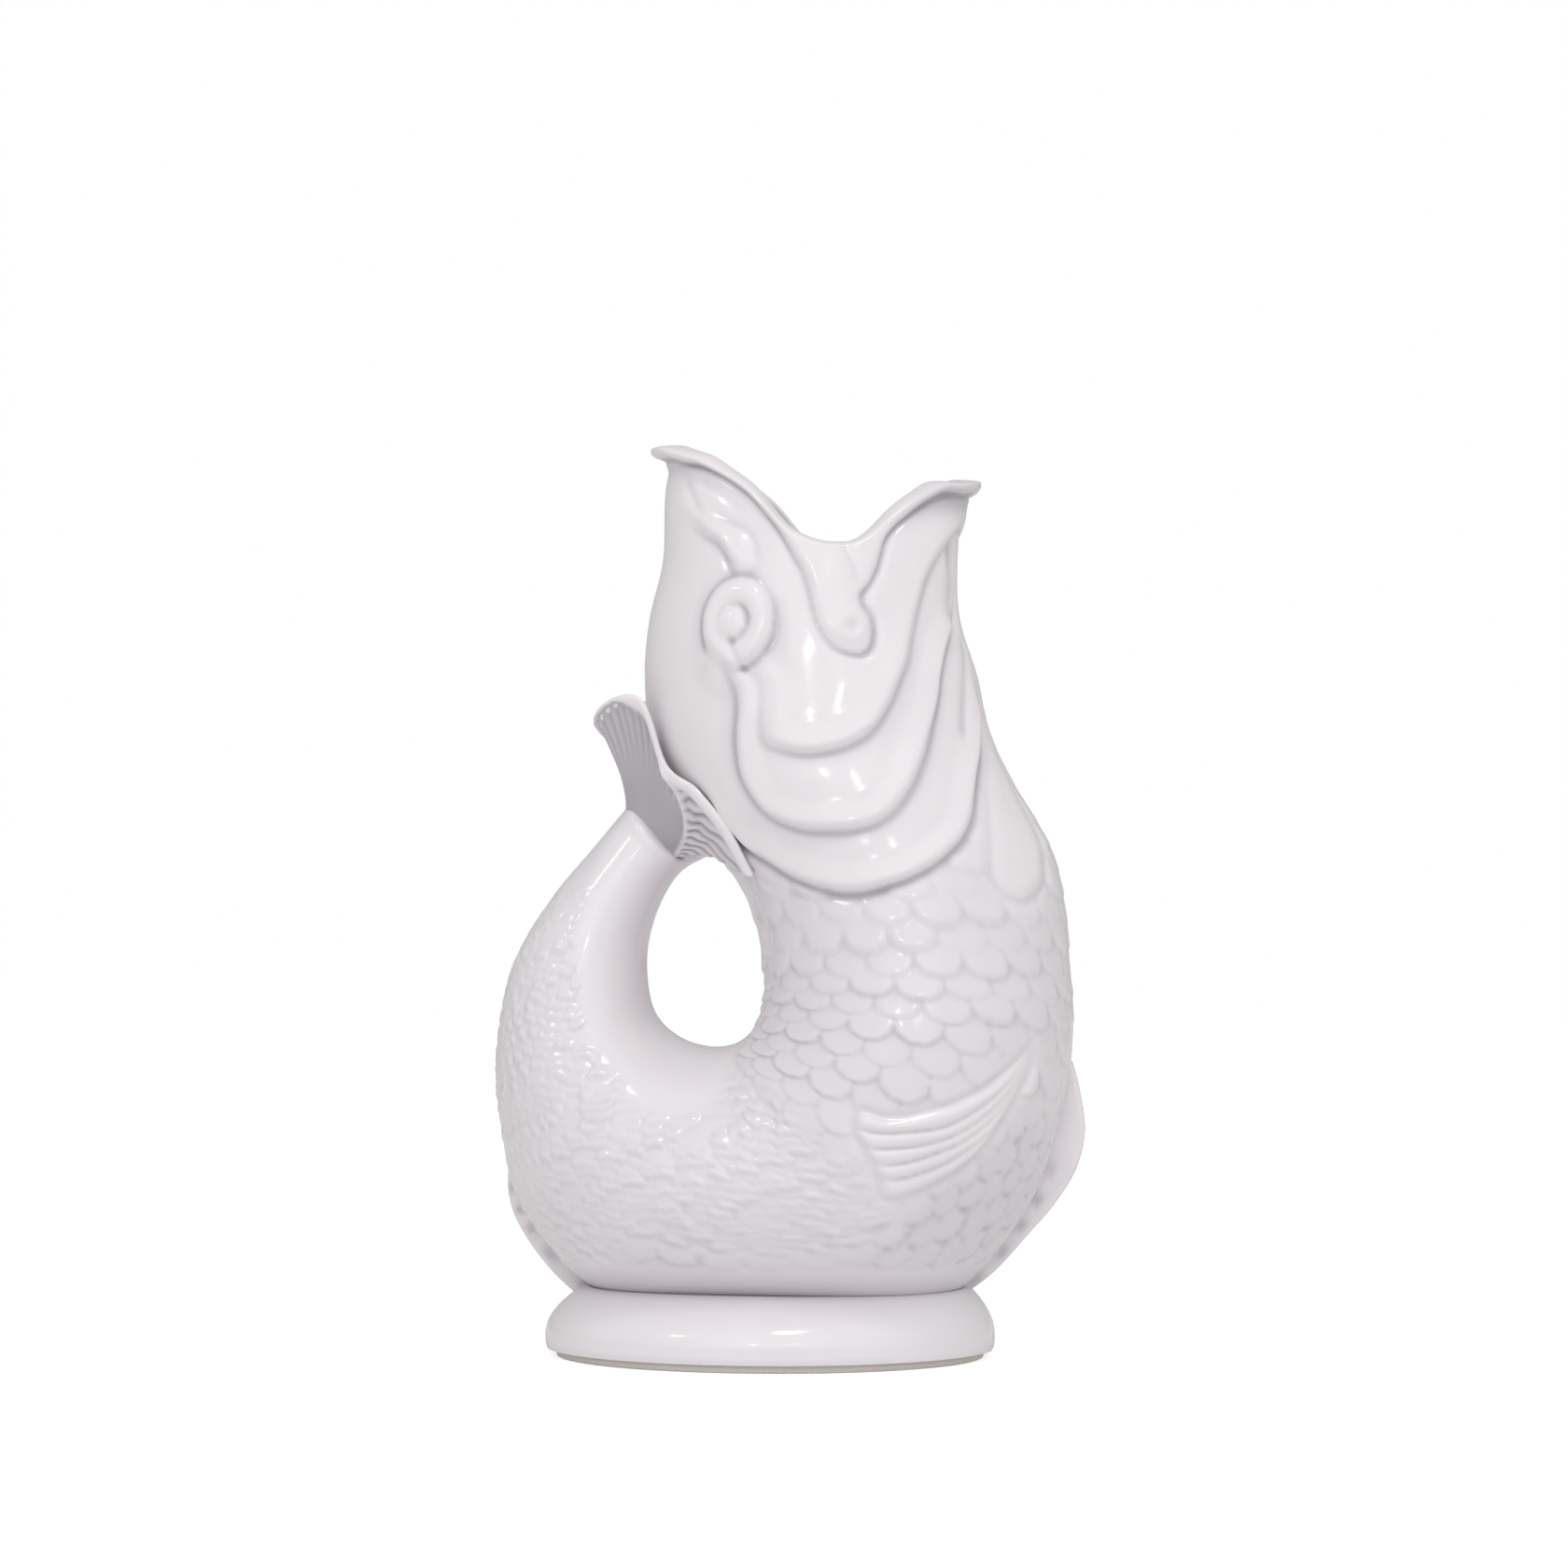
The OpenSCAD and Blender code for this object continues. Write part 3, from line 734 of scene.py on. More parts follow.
    def rim_station(self, t: Array) -> Array:
        """Station of the mouth's rim at an angle.

        Args:
            t: angle in degrees, from 0 to 180.

        Returns:
            The stations.
        """
        upper = self.corner_drop * fade(t, self.upper_jaw)
        lower = mix(self.lower_lip_drop, self.corner_drop, fade(t, self.lower_jaw))
        corner = (self.upper_jaw[1] + self.lower_jaw[1]) / 2
        drop = np.where(t > corner, upper, lower) + self.rim_clear
        return (drop - sum(swell.at(t) for swell in self.rim_swells)) / self.head_step

    def below_rim(self, k: Array, t: Array) -> Array:
        """Height of the mouth's rim above a place on the head."""
        return (k - self.rim_station(t)) * self.head_step

    def clear_of_neck(self, points: Array, off: float) -> Array:
        """Move points straight off the neck's skin where they lie nearer than they should.

        Args:
            points: places, in millimetres.
            off: least distance from the skin.

        Returns:
            The places, moved where need be.
        """
        x, y, z = np.moveaxis(points, -1, 0)
        back_x, _, front_x, _, half_w = self.section((self.jug_h - z) / self.head_step)
        middle, half = (back_x + front_x) / 2, (front_x - back_x) / 2 + off
        share = np.clip(np.hypot((x - middle) / half, y / (half_w + off)), 1e-6, 1.0)
        return np.stack([middle + (x - middle) / share, y / share, z], axis=-1)


@dataclass
class Line:
    """Line on the right side of the fish, with how strong it is on the way."""

    form: FishForm
    places: Rows
    strength: Row = (1.0, 1.0)
    seen: Seen = Seen.FROM_SIDE
    span_steps: int = 5
    chunk: int = 3000
    path: Array = field(init=False)

    def __post_init__(self) -> None:
        """Draw the line as a smooth curve on the plain form."""
        rows = self.places if self.seen is Seen.ON_SKIN else self.form.side_place(self.places)
        spans = len(rows) - 1
        fine = along(rows, np.linspace(0, spans, spans * self.span_steps + 1))
        self.path = self.form.skin(fine[:, 0], fine[:, 1])

    def measure(self, spots: Spots) -> tuple[Array, Array, Array]:
        """Measure places against the line.

        Args:
            spots: the places.

        Returns:
            Distance across the line, above zero on its left as it runs and seen from outside; how far
            each place lies past an end of the line; and the line's strength there.
        """
        starts, steps = self.path[:-1], np.diff(self.path, axis=0)
        length = np.linalg.norm(steps, axis=1)
        rows = np.linspace(0, len(self.strength) - 1, len(self.path))
        strengths = np.interp(rows, np.arange(len(self.strength)), self.strength)
        parts = []
        for first in range(0, len(spots.k), self.chunk):
            points, outward = (part[first : first + self.chunk] for part in (spots.points, spots.outward))
            gaps = points[:, None] - starts[None]
            share = (gaps * steps).sum(-1) / length**2
            held = np.clip(share, 0, 1)
            gaps = gaps - held[..., None] * steps
            nearest = np.argmin((gaps * gaps).sum(-1), axis=1)
            row = np.arange(len(points))
            gap, share, held = (values[row, nearest] for values in (gaps, share, held))
            sign = np.where((np.cross(steps[nearest], gap) * outward).sum(-1) >= 0, 1.0, -1.0)
            past_end = ((nearest == 0) & (share < 0)) | ((nearest == len(starts) - 1) & (share > 1))
            over = np.where(past_end, np.abs(share - held) * length[nearest], 0.0)
            strong = mix(strengths[nearest], strengths[nearest + 1], held)
            away = np.sqrt(np.maximum((gap * gap).sum(-1) - over**2, 0.0))
            parts.append(np.stack([sign * away, over, strong]))
        return tuple(np.concatenate(parts, axis=1))


@dataclass
class Shelf:
    """Edge of a plate that stands above the skin on the left of a line."""

    line: Line
    rise: float
    weak_rise: float = 0.4
    lip: float = 1.7
    weak_lip: float = 3.0
    soften: float = 0.7
    lead: float = 0.5
    edge_w: float = 9.0
    keep: float = 0.5
    reach: float = 15.0
    groove: float = 0.35
    groove_w: float = 1.2
    groove_run_out: float = 2.0
    run_out: float = 14.0
    cove: float = 0.45
    cove_w: float = 4.0

    def lift(self, spots: Spots) -> tuple[Array, Array]:
        """Lift of the skin by this edge.

        Args:
            spots: places on the skin.

        Returns:
            The lift near the edge, and the rest of the plate's lift, which is to be smoothed.
        """
        inside, over, strong = self.line.measure(spots)
        lip = self.lip * (1 + self.weak_lip * (1 - strong)) + self.soften * over
        step = ease((inside + self.lead) / (lip + self.lead))
        run_out = bell(over, spread=self.run_out)
        height = self.rise * mix(self.weak_rise, 1.0, strong) * run_out
        inner = ease(inside / self.edge_w)
        groove_end = bell(over, spread=self.groove_run_out)
        groove = self.groove * strong * bell(inside, spread=self.groove_w) * groove_end
        cove = self.cove * strong * bell(np.minimum(inside, 0), spread=self.cove_w) * (1 - step) * run_out
        slow = height * inner * mix(1.0, self.keep, ease(inside / self.reach))
        return height * step * (1 - inner) - cove - groove, slow


@dataclass
class EyeRelief:
    """Eye: a rolled ring that opens below into a stem, round a domed pupil.

    Places across the ring are shares of the eye's half size, and places across the moat are shares of the
    pupil's.
    """

    form: FishForm
    place: Row = (-0.11, 0.777)
    half: Row = (9.7, 12.0)
    reach: float = 1.8
    ring_t: float = 2.3
    crest: float = 0.72
    # Spread of the ring inside its crest, and outside
    crest_spreads: Row = (0.36, 0.29)
    stem: Swell = Swell(1.0, 26.0, -118.0)
    stem_start: Fade = (0.45, 0.72)
    stem_end: Fade = (1.75, 0.8)
    pupil_place: Row = (-0.124, 0.777)
    pupil_half: Row = (4.5, 5.3)
    pupil_t: float = 2.3
    dome_power: float = 0.45
    moat: Swell = Swell(0.3, 0.12, 1.06)
    moat_angle: float = 40.0
    moat_sway: float = 0.4
    slit_places: Rows = ((-0.118, 0.756), (-0.108, 0.742), (-0.094, 0.73), (-0.078, 0.72))
    slit: Swell = Swell(1.0, 0.6)
    slit_run_out: float = 0.8
    # Depth of the groove round the ring everywhere, and how much more it has behind and below
    outline_t: float = 0.15
    outline_back_t: float = 0.2
    outline_low_t: float = 0.4
    outline: Swell = Swell(1.0, 0.06, 1.06)
    outline_back: Fade = (0.0, -5.0)
    outline_low: Fade = (-2.0, -8.0)
    outline_stem: Fade = (0.6, 0.2)
    # Step in stations and degrees that finds the ways ahead and up on the skin
    probe: float = 0.05

    def lift(self, spots: Spots) -> Array:
        """Lift of the skin by the eye.

        Args:
            spots: places on the head.

        Returns:
            The lift, in millimetres.
        """
        form = self.form
        (k, t), (pupil_k, pupil_t) = form.side_place((self.place, self.pupil_place))
        centre, pupil = form.skin(np.array([k, pupil_k]), np.array([t, pupil_t]))
        ahead = unit(form.skin(np.array(k), np.array(t - self.probe)) - centre)
        above = unit(form.skin(np.array(k - self.probe), np.array(t)) - centre)
        right, up = (spots.points - centre) @ ahead, (spots.points - centre) @ above
        out = np.hypot(right / self.half[0], up / self.half[1])
        way = np.degrees(np.arctan2(up, right))
        spread = np.where(out < self.crest, *self.crest_spreads)
        roll = np.sqrt(np.clip(1 - ((out - self.crest) / spread) ** 2, 0, 1))
        stem = self.stem.at(way)
        flow = stem * fade(out, self.stem_start) * fade(out, self.stem_end)
        ring = self.ring_t * np.maximum(roll, flow)
        gap = spots.points - pupil
        pupil_out = np.hypot(gap @ ahead / self.pupil_half[0], gap @ above / self.pupil_half[1])
        dome = self.pupil_t * np.clip(1 - pupil_out**2, 0, 1) ** self.dome_power
        sway = mix(1.0, np.cos(np.radians(2 * (way - self.moat_angle))), self.moat_sway)
        moat = self.moat.at(pupil_out) * sway
        across, over, _ = Line(form, self.slit_places).measure(spots)
        slit = self.slit.at(across) * bell(over, spread=self.slit_run_out)
        low = fade(up, self.outline_low) * fade(stem, self.outline_stem)
        depth = self.outline_t + self.outline_low_t * low
        depth += self.outline_back_t * fade(right, self.outline_back)
        outline = depth * self.outline.at(out) * (1 - stem)
        return np.where(out < self.reach, np.maximum(ring, dome) - slit - moat - outline, 0.0)

    def labels(self, shares: Array) -> dict[str, Array]:
        """Tell which places belong to the ring and to the pupil.

        Args:
            shares: places seen from the side, in rows of x and z shares.

        Returns:
            A mask for each piece, by name.
        """
        size = (self.form.length / 2, self.form.fish_h)
        eye = np.hypot(*((shares - self.place) * size / self.half).T)
        pupil = np.hypot(*((shares - self.pupil_place) * size / self.pupil_half).T)
        return {"eye_pupil": pupil < 1.0, "eye_ring": (eye < 1.0) & (pupil >= 1.0)}


@dataclass
class LipRelief:
    """The two lips, rolled at the mouth's corners and flared at their tips."""

    form: FishForm
    upper_roll: float = 4.0
    lower_roll: float = 4.8
    lip_t: float = 1.9
    lip_round: float = 3.2
    least_round: float = 0.5
    upper_tip: Fade = (114.0, 159.0)
    lower_tip: Fade = (56.0, 14.0)
    # The cord along the rim at the tips, and the fillet that runs down from it
    rim_round: float = 1.8
    cord_h: float = 3.5
    fillet_share: float = 0.55
    fillet_from: float = 0.8
    fillet_h: float = 4.4
    fillet_lower: float = 1.2
    fillet_power: float = 1.8
    # Lower edge of both lips: from the upper tip, round the lobe at the mouth's corner, to the lower tip
    edge: Rows = (
        (-0.406, 0.974), (-0.368, 0.973), (-0.277, 0.971), (-0.224, 0.964), (-0.156, 0.95),
        (-0.088, 0.932), (-0.038, 0.913), (0.012, 0.892), (0.045, 0.875), (0.078, 0.854), (0.111, 0.834),
        (0.131, 0.811), (0.144, 0.789), (0.161, 0.77), (0.186, 0.754), (0.217, 0.743), (0.254, 0.737),
        (0.294, 0.735), (0.322, 0.739), (0.34, 0.751), (0.343, 0.768), (0.331, 0.784), (0.311, 0.796),
        (0.304, 0.807), (0.327, 0.82), (0.351, 0.838), (0.365, 0.857), (0.38, 0.876), (0.409, 0.891),
        (0.445, 0.903), (0.49, 0.917), (0.535, 0.927), (0.579, 0.934), (0.628, 0.94),
    )
    edge_strength: Row = (
        1, 1, 1, 1, 0.9, 0.8, 0.8, 0.8, 0.7, 0.7, 0.7, 0.8, 0.9, 1, 1, 1, 1, 1, 1, 1, 0.9, 0.7, 0.6, 0.7, 0.9,
        1, 1, 1, 1, 1, 1, 1, 1, 1,
    )
    # Depth of the groove under the edge at the back and how much more it has in front, and its widths
    groove_t: float = 0.6
    groove_front_t: float = 0.5
    groove_front: Fade = (80.0, 60.0)
    groove_w: float = 0.9
    groove_end: Fade = (0.9, 0.1)
    shade: Swell = Swell(0.4, 5.0)
    shade_end: Fade = (1.5, 0.0)
    # Depths at the upper and the lower tip, place below the cord and spread of the sharp and the wide hollow
    tip_hollows: tuple[tuple[Row, float, float], ...] = (((1.1, 0.9), 0.4, 0.85), ((0.5, 0.3), 3.0, 3.4))
    # Soft seam between the lobe and the lower lip, up to the mouth's corner
    seam_places: Rows = ((0.308, 0.8), (0.29, 0.822), (0.265, 0.848), (0.24, 0.87))
    seam: Swell = Swell(0.5, 1.6)
    seam_run_out: float = 2.0
    seam_end: Fade = (-2.0, 0.0)
    lobe_place: Row = (0.235, 0.775)
    lobe: Swell = Swell(1.1, 7.0)
    nostril_place: Row = (0.268, 0.772)
    nostril: Swell = Swell(-0.45, 1.7)
    nostril_rim: Swell = Swell(0.35, 1.2, 3.0)
    # Lowest that the lips and the lower lip reach, in shares of the height above the pedestal
    low: float = 0.72
    lower_lip_low: float = 0.795

    def lift(self, spots: Spots) -> tuple[Array, Array]:
        """Lift of the skin by the lips.

        Args:
            spots: places on the head.

        Returns:
            The lift, and how far each place lies inside the lips' lower edge.
        """
        form = self.form
        upper, lower = fade(spots.t, self.upper_tip), fade(spots.t, self.lower_tip)
        tip = upper + lower
        inside, _, strong = Line(form, self.edge, self.edge_strength).measure(spots)
        below_rim = np.maximum(form.below_rim(spots.k, spots.t), 0)
        radius = np.minimum(self.lip_round, np.maximum((inside + below_rim) / 2, self.least_round))
        roll = quarter_round(inside / radius)
        cord = np.sqrt(1 - np.clip((below_rim - self.rim_round) / (self.cord_h - self.rim_round), 0, 1) ** 2)
        tall = self.fillet_h * (1 + self.fillet_lower * lower)
        down = np.clip((below_rim - self.fillet_from * self.cord_h) / tall, 0, 1)
        flare = np.maximum(cord, self.fillet_share * (1 - down) ** self.fillet_power)
        rise = self.lip_t + (self.upper_roll - self.lip_t) * upper + (self.lower_roll - self.lip_t) * lower
        lift = rise * mix(roll, flare, tip)
        lobe = form.from_spot(self.lobe_place, spots.points)
        nostril = form.from_spot(self.nostril_place, spots.points)
        lift += self.lobe.at(lobe) + self.nostril_rim.at(nostril) + self.nostril.at(nostril)
        across, over, _ = Line(form, self.seam_places).measure(spots)
        lift -= self.seam.at(across) * bell(over, spread=self.seam_run_out) * fade(inside, self.seam_end)
        outside = np.minimum(inside, 0)
        deep = self.groove_t + self.groove_front_t * fade(spots.t, self.groove_front)
        groove = deep * bell(outside, spread=self.groove_w) * fade(inside, self.groove_end) * (1 - tip)
        shade = self.shade.at(outside) * fade(inside, self.shade_end)
        lift -= strong * (groove + shade)
        for (upper_t, lower_t), place, spread in self.tip_hollows:
            lift -= (upper_t * upper + lower_t * lower) * bell(below_rim, self.cord_h + place, spread)
        return lift, inside

    def labels(self, spots: Spots, shares: Array) -> dict[str, Array]:
        """Tell which places belong to each lip.

        Args:
            spots: places on the head.
            shares: the same places seen from the side, in rows of x and z shares.

        Returns:
            A mask for each piece, by name.
        """
        inside = Line(self.form, self.edge).measure(spots)[0] > 0
        lips = inside & (shares[:, 1] > self.low)
        in_front = Line(self.form, self.seam_places).measure(spots)[0] <= 0
        lower = lips & in_front & (shares[:, 1] > self.lower_lip_low)
        return {"upper_lip": lips & ~lower, "lower_lip": lower}


@dataclass
class HeadRelief:
    """Brow, cheek and gill plates, and the lobe beside the throat, with the lips and the eye."""

    form: FishForm
    gill_t: float = 2.0
    gill_groove: float = 0.5
    gill_edge: Rows = (
        (-0.16, 0.54), (-0.083, 0.51), (-0.015, 0.496), (0.053, 0.481), (0.119, 0.47), (0.185, 0.463),
        (0.265, 0.458), (0.344, 0.46), (0.406, 0.466), (0.467, 0.473), (0.543, 0.487), (0.603, 0.504),
        (0.646, 0.522), (0.674, 0.548), (0.68, 0.576), (0.683, 0.598), (0.688, 0.632), (0.681, 0.666),
    )
    band_t: float = 1.9
    band_groove: float = 0.45
    band_edge: Rows = (
        (-0.237, 0.798), (-0.236, 0.775), (-0.218, 0.753), (-0.19, 0.736), (-0.146, 0.716),
        (-0.123, 0.702), (-0.109, 0.685), (-0.105, 0.663), (-0.105, 0.63), (-0.089, 0.597),
        (-0.057, 0.575), (-0.009, 0.553), (0.056, 0.539), (0.137, 0.531), (0.217, 0.53), (0.28, 0.531),
        (0.357, 0.538), (0.417, 0.553), (0.461, 0.575), (0.49, 0.597), (0.517, 0.63), (0.536, 0.664),
        (0.549, 0.692), (0.556, 0.72), (0.574, 0.754), (0.599, 0.796), (0.606, 0.83),
    )
    band_strength: Row = (0.0, 0.4, 1.0, 1.0, 1.0, 1.0, 1.0, 0.9)
    cheek_t: float = 1.8
    cheek_edge: Rows = (
        (-0.065, 0.716), (-0.042, 0.709), (-0.025, 0.698), (-0.021, 0.674), (-0.017, 0.646),
        (-0.001, 0.632), (0.041, 0.626), (0.088, 0.622), (0.151, 0.621), (0.229, 0.626), (0.29, 0.635),
        (0.35, 0.652), (0.394, 0.679), (0.423, 0.707), (0.446, 0.73), (0.456, 0.752), (0.478, 0.792),
        (0.506, 0.831), (0.535, 0.855), (0.564, 0.872), (0.596, 0.888), (0.614, 0.897),
    )
    cheek_strength: Row = (0.15, 0.3, 0.7, 1.0, 1.0, 0.9, 0.75, 0.7, 0.6)
    cheek_top: Rows = (
        (-0.02, 0.713), (0.01, 0.718), (0.04, 0.725), (0.08, 0.73), (0.13, 0.732), (0.2, 0.728),
        (0.28, 0.724), (0.345, 0.73), (0.385, 0.762), (0.41, 0.795), (0.44, 0.825),
    )
    # First corner and end of the stretch of each edge that bounds a piece
    band_run: tuple[int, int] = (4, 24)
    cheek_run: tuple[int, int] = (1, 18)
    brow_t: float = 1.7
    brow_lip: float = 2.6
    brow_run_out: float = 5.0
    brow_edge: Rows = (
        (-0.3, 0.896), (-0.278, 0.892), (-0.235, 0.882), (-0.19, 0.872), (-0.155, 0.856), (-0.137, 0.841),
        (-0.113, 0.832), (-0.075, 0.832), (-0.043, 0.846), (-0.047, 0.857), (-0.064, 0.876),
        (-0.095, 0.889), (-0.135, 0.897), (-0.186, 0.909), (-0.231, 0.925),
    )
    brow_strength: Row = (0.2, 0.8, 1.0, 0.4, 0.4, 0.8, 0.8, 0.2)
    throat_t: float = 1.5
    throat_lip: float = 1.8
    throat_keep: float = 0.9
    throat_fade: Fade = (4.2, 5.7)
    throat_edge: Rows = (
        (4.6, 6.0), (5.07, 10.4), (5.73, 28.0), (6.53, 42.0), (7.32, 51.0), (7.71, 49.0), (7.87, 38.6),
        (7.63, 25.8), (7.31, 21.4), (6.91, 16.7), (6.2, 12.0), (5.5, 8.0),
    )
    throat_strength: Row = (0.0, 0.0, 0.0, 0.05, 0.1, 0.5, 0.3, 0.1, 0.0)
    # Places, depth and half width of each crease that has no edge of its own
    soft_creases: tuple[tuple[Rows, float, float], ...] = (
        (((0.631, 0.751), (0.633, 0.71), (0.63, 0.654)), 0.6, 1.6),
        (((0.028, 0.795), (0.03, 0.74), (0.034, 0.696)), 0.3, 3.0),
        (((-0.31, 0.947), (-0.284, 0.929), (-0.273, 0.923)), 0.5, 1.2),
        (((-0.24, 0.945), (-0.18, 0.931), (-0.12, 0.914)), 0.35, 1.6),
        (((0.588, 0.868), (0.59, 0.83), (0.585, 0.79)), 1.8, 3.4),
        (((-0.019, 0.471), (0.085, 0.457), (0.184, 0.453), (0.3, 0.45), (0.391, 0.46)), 0.5, 0.9),
    )
    crease_run_out: float = 3.0
    back_fade: Fade = (176.0, 154.0)
    front_fade: Fade = (4.0, 20.0)
    lips_fade: Fade = (0.8, -0.4)

    @property
    def gill_line(self) -> Line:
        """Lower edge of the gill cover."""
        return Line(self.form, self.gill_edge)

    @property
    def throat_line(self) -> Line:
        """Outline of the throat lobe."""
        return Line(self.form, self.throat_edge, self.throat_strength, Seen.ON_SKIN)

    def lift(self, spots: Spots, smooth: Callable[[Array], Array]) -> Array:
        """Lift of the head's skin.

        Args:
            spots: places on the head.
            smooth: smoothes values over the grid that the places come from.

        Returns:
            The lift, in millimetres.
        """
        form = self.form
        back = fade(spots.t, self.back_fade)
        both_ends = back * fade(spots.t, self.front_fade)
        band = Line(form, self.band_edge, self.band_strength)
        cheek = Line(form, self.cheek_edge, self.cheek_strength)
        brow = Line(form, self.brow_edge, self.brow_strength)
        throat = Shelf(self.throat_line, self.throat_t, lip=self.throat_lip, keep=self.throat_keep)
        plates = (
            (Shelf(self.gill_line, self.gill_t, groove=self.gill_groove), both_ends),
            (Shelf(band, self.band_t, groove=self.band_groove), both_ends),
            (Shelf(cheek, self.cheek_t), back),
            (Shelf(brow, self.brow_t, lip=self.brow_lip, keep=1.0, run_out=self.brow_run_out), 1.0),
            (throat, fade(spots.k, self.throat_fade)),
        )
        total, slow = np.zeros(len(spots.k)), np.zeros(len(spots.k))
        for plate, ends in plates:
            near, far = plate.lift(spots)
            total += near * ends
            slow += far * ends
        total += smooth(slow) + EyeRelief(form).lift(spots)
        for places, depth, width in self.soft_creases:
            across, over, _ = Line(form, places).measure(spots)
            total -= depth * bell(across, spread=width) * bell(over, spread=self.crease_run_out)
        lips, inside = LipRelief(form).lift(spots)
        return total * fade(inside, self.lips_fade) + lips

    def labels(self, spots: Spots) -> dict[str, Array]:
        """Tell which places of the head belong to each piece.

        Args:
            spots: places on the head.

        Returns:
            A mask for each piece, by name.
        """
        shares = self.form.side_shares(spots.points)
        band, cheek = self.band_edge[slice(*self.band_run)], self.cheek_edge[slice(*self.cheek_run)]
        wanted = {
            **LipRelief(self.form).labels(spots, shares),
            **EyeRelief(self.form).labels(shares),
            "brow": inside_outline(self.brow_edge, shares),
            "cheek_plate": inside_outline(cheek + self.cheek_top[::-1], shares),
            "cheek_band": inside_outline(band + cheek[::-1], shares),
            "gill_cover": inside_outline(self.gill_edge + band[::-1], shares),
            "throat_lobe": inside_outline(self.throat_edge, spots.on_skin),
        }
        taken = np.zeros(len(shares), dtype=bool)
        found = {}
        for name, mask in wanted.items():
            found[name] = mask & ~taken
            taken |= mask
        return found


@dataclass(frozen=True)
class ScaleRows:
    """Rows of overlapping scales of one kind, whose free edges point down the body.

    Sines of the numbers of their rows and columns make the scales uneven.
    """

    row_step: float
    column_step: float
    height: float
    wobble: float
    ragged: float
    round_share: float = 0.11
    square: float = 2.3
    floor: float = 0.12
    level_sway: float = 0.16
    first_row: float = 0.12
    first_station: float = 7.0
    rows_in_reach: int = 5
    # Sideways lean of a row for each row down, full in front and partly turned round behind
    lean: float = 0.0
    lean_front: Fade = (95.0, 45.0)
    lean_back: Fade = (115.0, 155.0)
    lean_back_share: float = 0.6
    # Turns of the sines for each column and row
    side_turn: float = 1.3
    down_turns: Row = (2.4, 1.7)
    level_turns: Row = (5.1, 2.9)
    fray_turns: Row = (1.0, 3.1)
    fray_count: float = 23.0
    fray_fade: Fade = (0.0, 0.6)

    @staticmethod
    def phase(turns: Row, column: Array, row: Array) -> Array:
        """Angle of a sine that makes the scales uneven."""
        return turns[0] * column + turns[1] * row

    def lift(self, body_way: Array, row_way: Array) -> Array:
        """Lift of the skin by these scales.

        Args:
            body_way: stations or angles that the rows follow one another along.
            row_way: angles or stations that each row runs along.

        Returns:
            The lift, in millimetres.
        """
        lean = fade(row_way, self.lean_front) - self.lean_back_share * fade(row_way, self.lean_back)
        rows = (body_way - self.first_station) / self.row_step + self.first_row
        row = np.floor(rows) - 1
        found = np.zeros(len(rows), dtype=int)
        top, under, edge = (np.zeros(len(rows)) for _ in range(3))
        for _ in range(self.rows_in_reach):
            shift = 0.5 * (row % 2) + self.wobble * np.sin(self.side_turn * row)
            place = row_way / self.column_step + (shift + self.lean * lean * (rows - row))
            column = np.floor(place)
            across = place - column - 0.5
            down = rows - row - self.wobble * np.sin(self.phase(self.down_turns, column, row))
            fray = np.sin(self.fray_count * across + self.phase(self.fray_turns, column, row))
            fray = self.ragged * fray * fade(down, self.fray_fade)
            out = np.abs(2 * across) ** self.square + np.maximum(down, 0) ** self.square
            out = out ** (1 / self.square) + fray
            level = 1 + self.level_sway * np.sin(self.phase(self.level_turns, column, row))
            level = level * mix(self.floor, 1.0, np.clip((down + 1) / 2, 0, 1))
            first, second = ((out < 1) & (found == count) for count in (0, 1))
            top[first] = level[first]
            edge[first] = quarter_round((1 - out[first]) / self.round_share)
            under[second] = level[second]
            found += out < 1
            row = row + 1
        return self.height * mix(under, top, edge)


